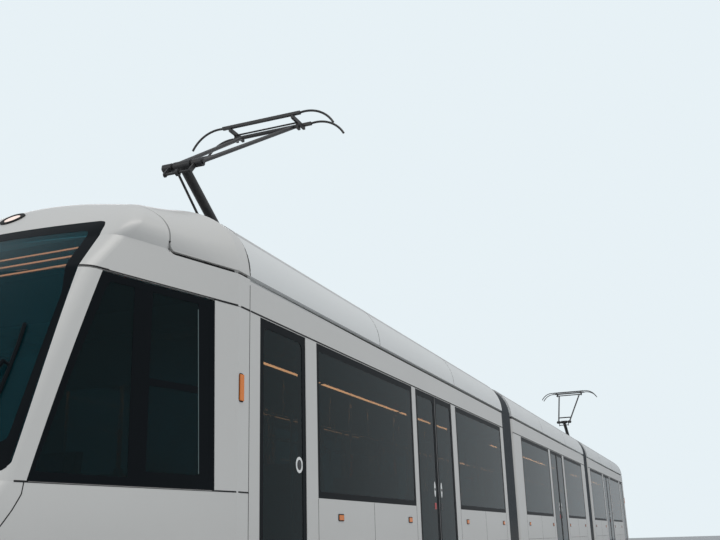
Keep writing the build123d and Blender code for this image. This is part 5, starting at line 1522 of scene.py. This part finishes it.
def antenna(bm):
    """Flat aerials on the cab's roof deck."""
    for y, r in ((-12.75, 0.09), (-12.35, 0.06)):
        dome = ((0, r), (0.02, r), (0.05, r * 0.8), (0.065, r * 0.4), (0.068, 0))
        add_turned(bm, (0.30, y, DECK), (0, 0, 1), dome, 24, 0)


end_piece("aerials", antenna, [dark_plastic], mirrored=False, slot="roof")
print("roof gear made")

# %% [markdown]
# The wheels are resilient ones: a bolted ring clamps the tyre's rubber to the disc. A second
# node group sets bolts round a ring. The bogies get bearing covers, rubber springs, ribs on the
# motors and sand pipes, and the pantographs get their springs.

# %% Running gear and springs
ring, ring_sockets, given, wanted = node_tree_for("ring_of_copies", (
    ("Shape", "NodeSocketObject", None), ("Count", "NodeSocketInt", 8),
    ("Radius", "NodeSocketFloat", 0.1), ("Centre", "NodeSocketVector", (0, 0, 0)),
    ("Material", "NodeSocketMaterial", None)))
circle = ring.nodes.new("GeometryNodeMeshCircle")
ring.links.new(given.outputs["Count"], circle.inputs["Vertices"])
ring.links.new(given.outputs["Radius"], circle.inputs["Radius"])
upright_ring = ring.nodes.new("GeometryNodeTransform")
upright_ring.inputs["Rotation"].default_value = (0.0, math.pi / 2, 0.0)
ring.links.new(circle.outputs["Mesh"], upright_ring.inputs["Geometry"])
ring.links.new(given.outputs["Centre"], upright_ring.inputs["Translation"])
copies_on(ring, upright_ring.outputs["Geometry"], given, wanted)


def ring_of(name, build, count, radius, centre, material):
    """Copies of a shape round a ring across the tram, as one plain object."""
    values = {"Count": count, "Radius": radius, "Centre": centre}
    return repeated(name, build, ring, ring_sockets, values, material)


BOLT_HEAD = ((0, 0.012), (0.011, 0.012), (0.011, 0.0))


def bolt_pair(x):
    """Draws a bolt's head on the wheel at each side."""
    def build(bm):
        for side in (-1, 1):
            add_turned(bm, (side * (x - 0.002), 0, 0), (side, 0, 0), BOLT_HEAD, 6)
    return build


AXLE = 0.300 + RAIL
HALF_WHEELBASE = 0.9
DISC_X = 0.7545
CLAMP_RING = ((0, 0.216), (0.0125, 0.212), (0.0125, 0.152), (0, 0.148))
WHEEL_RUBBER = ((0, 0.246), (0.007, 0.240), (0.007, 0.220), (0, 0.216))
WHEEL_BOLTS = (("ring_bolts", 0.767, 12, 0.183), ("hub_bolts", 0.8075, 6, 0.085))
bogie_names = ("first", "second", "third", "fourth")


def middle_of(node):
    """Place of a CAD node's middle along the tram."""
    return sum(corner[1] for corner in nodes[node].bound_box) / 8


for bogie in bogie_names:
    for end in ("leading", "trailing"):
        body = f"{bogie}_{end}_wheelset"
        y = middle_of(body)
        for label, x, count, radius in WHEEL_BOLTS:
            bolts = ring_of(f"{body}_{label}", bolt_pair(x), count, radius, (0.0, y, AXLE), steel)
            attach(bolts, body)

        def clamp_rings(bm):
            """Clamp ring on each wheel's disc, with the rubber that shows round it."""
            for side in (-1, 1):
                for material, profile in enumerate((CLAMP_RING, WHEEL_RUBBER)):
                    add_turned(bm, (side * DISC_X, y, AXLE), (side, 0, 0), profile, 40, material)
        ride_piece(f"{body}_clamp_rings", clamp_rings, [cast_steel, rubber], body, slot="wheels")


def one_coil(bm):
    """One turn of a spring, as a closed ring across the tram's length."""
    points = [(x, 0.0, z) for x, z in ellipse((0, 0), (0.040, 0.040), 12)]
    add_tube(bm, points, 0.007, 5, closed=True)


def rubber_layer(bm):
    """One layer of a bogie's rubber spring, at both sides."""
    layer = ((0, 0.094), (0.004, 0.108), (0.012, 0.108), (0.016, 0.094))
    for side in (-1, 1):
        add_turned(bm, (side * 0.995, 0, 0), (0, 0, 1), layer, 28)


def motor_rib(bm):
    """One cooling rib round a traction motor."""
    add_turned(bm, (0, 0, 0), (1, 0, 0), ((0, 0.111), (0, 0.119), (0.008, 0.119), (0.008, 0.111)), 24)


def bogie_gear(centre):
    """Bearing covers with bolts, sand pipes and a brake hose at each side of one bogie."""
    cover = ((0, 0.113), (0.020, 0.113), (0.030, 0.098), (0.030, 0.0))
    bolt = ((0, 0.009), (0.010, 0.009), (0.010, 0))
    pipe_route = ((0.99, 1.06, 0.36), (0.93, 1.16, 0.33), (0.84, 1.27, 0.26), (0.745, 1.275, 0.14))
    hose_route = ((0.90, 0.26, 0.30), (0.80, 0.34, 0.335), (0.62, 0.36, 0.33), (0.50, 0.33, 0.30),
                  (0.46, 0.26, 0.29))

    def build(bm):
        for ahead in (-1, 1):
            y = centre + ahead * HALF_WHEELBASE
            add_turned(bm, (1.059, y, AXLE), (1, 0, 0), cover, 32, 0)
            for bolt_y, bolt_z in ellipse((y, AXLE), (0.104, 0.104), 6):
                add_turned(bm, (1.078, bolt_y, bolt_z), (1, 0, 0), bolt, 6, 1)
            add_tube(bm, [(x, centre + ahead * along, z) for x, along, z in pipe_route], 0.016, 10, 2)
        add_tube(bm, [(x, centre - along, z) for x, along, z in hose_route], 0.011, 10, 2)
    return build


for bogie in bogie_names:
    body = f"{bogie}_bogie"
    centre = middle_of(body)
    lowest = (0.0, centre, 0.330)
    layers = row_of(f"{bogie}_rubber_springs", rubber_layer, 4, lowest, (0.0, 0.0, 0.021), rubber)
    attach(layers, body)
    for index, side in enumerate((-1, 1)):
        start = (-0.36, centre + side * 0.56, 0.257 + RAIL)
        ribs = row_of(f"{bogie}_motor_ribs_{index}", motor_rib, 15, start, (0.051, 0.0, 0.0), cast_steel)
        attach(ribs, body)
    ride_piece(f"{bogie}_bogie_gear", bogie_gear(centre), [cast_steel, steel, rubber], body, True,
               slot="bogie_frame")

SPRING_X, SPRING_Z = 0.17, 3.315
SPRING_REAR, SPRING_FRONT = 1.02, 0.17       # distances of the spring's ends from the foot
COILS, COIL_PITCH = 44, 0.0195
for end in ("front", "rear"):
    foot = max(corner[1] for corner in nodes[f"{end}_pantograph_base"].bound_box) - 0.25
    for index, x in enumerate((-SPRING_X, SPRING_X)):
        start = (x, foot - SPRING_REAR, SPRING_Z)
        step = (0.0, COIL_PITCH, 0.0)
        springs = row_of(f"{end}_lifting_spring_{index}", one_coil, COILS, start, step, steel)
        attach(springs, f"{end}_module")

        def hooks(bm):
            """Rods that hold a spring to the base frame at both ends."""
            rear, front = foot - SPRING_REAR, foot - SPRING_FRONT
            for a, b in ((foot - 1.22, rear), (front, foot - 0.13)):
                add_tube(bm, [(x, a, SPRING_Z), (x, b, SPRING_Z)], 0.012, 10)
            plate = ((0, 0.0), (0, 0.044), (0.016, 0.044), (0.016, 0.0))
            for y in (rear, front):
                add_turned(bm, (x, y - 0.008, SPRING_Z), (0, 1, 0), plate, 16)
            low, high = SPRING_Z - 0.015, SPRING_Z + 0.015
            add_box(bm, (x - 0.02, foot - 0.15, low), (x + 0.02, foot - 0.12, high))
        ride_piece(f"{end}_spring_rods_{index}", hooks, [panto_black], f"{end}_module", slot="pantograph")
print("running gear made")
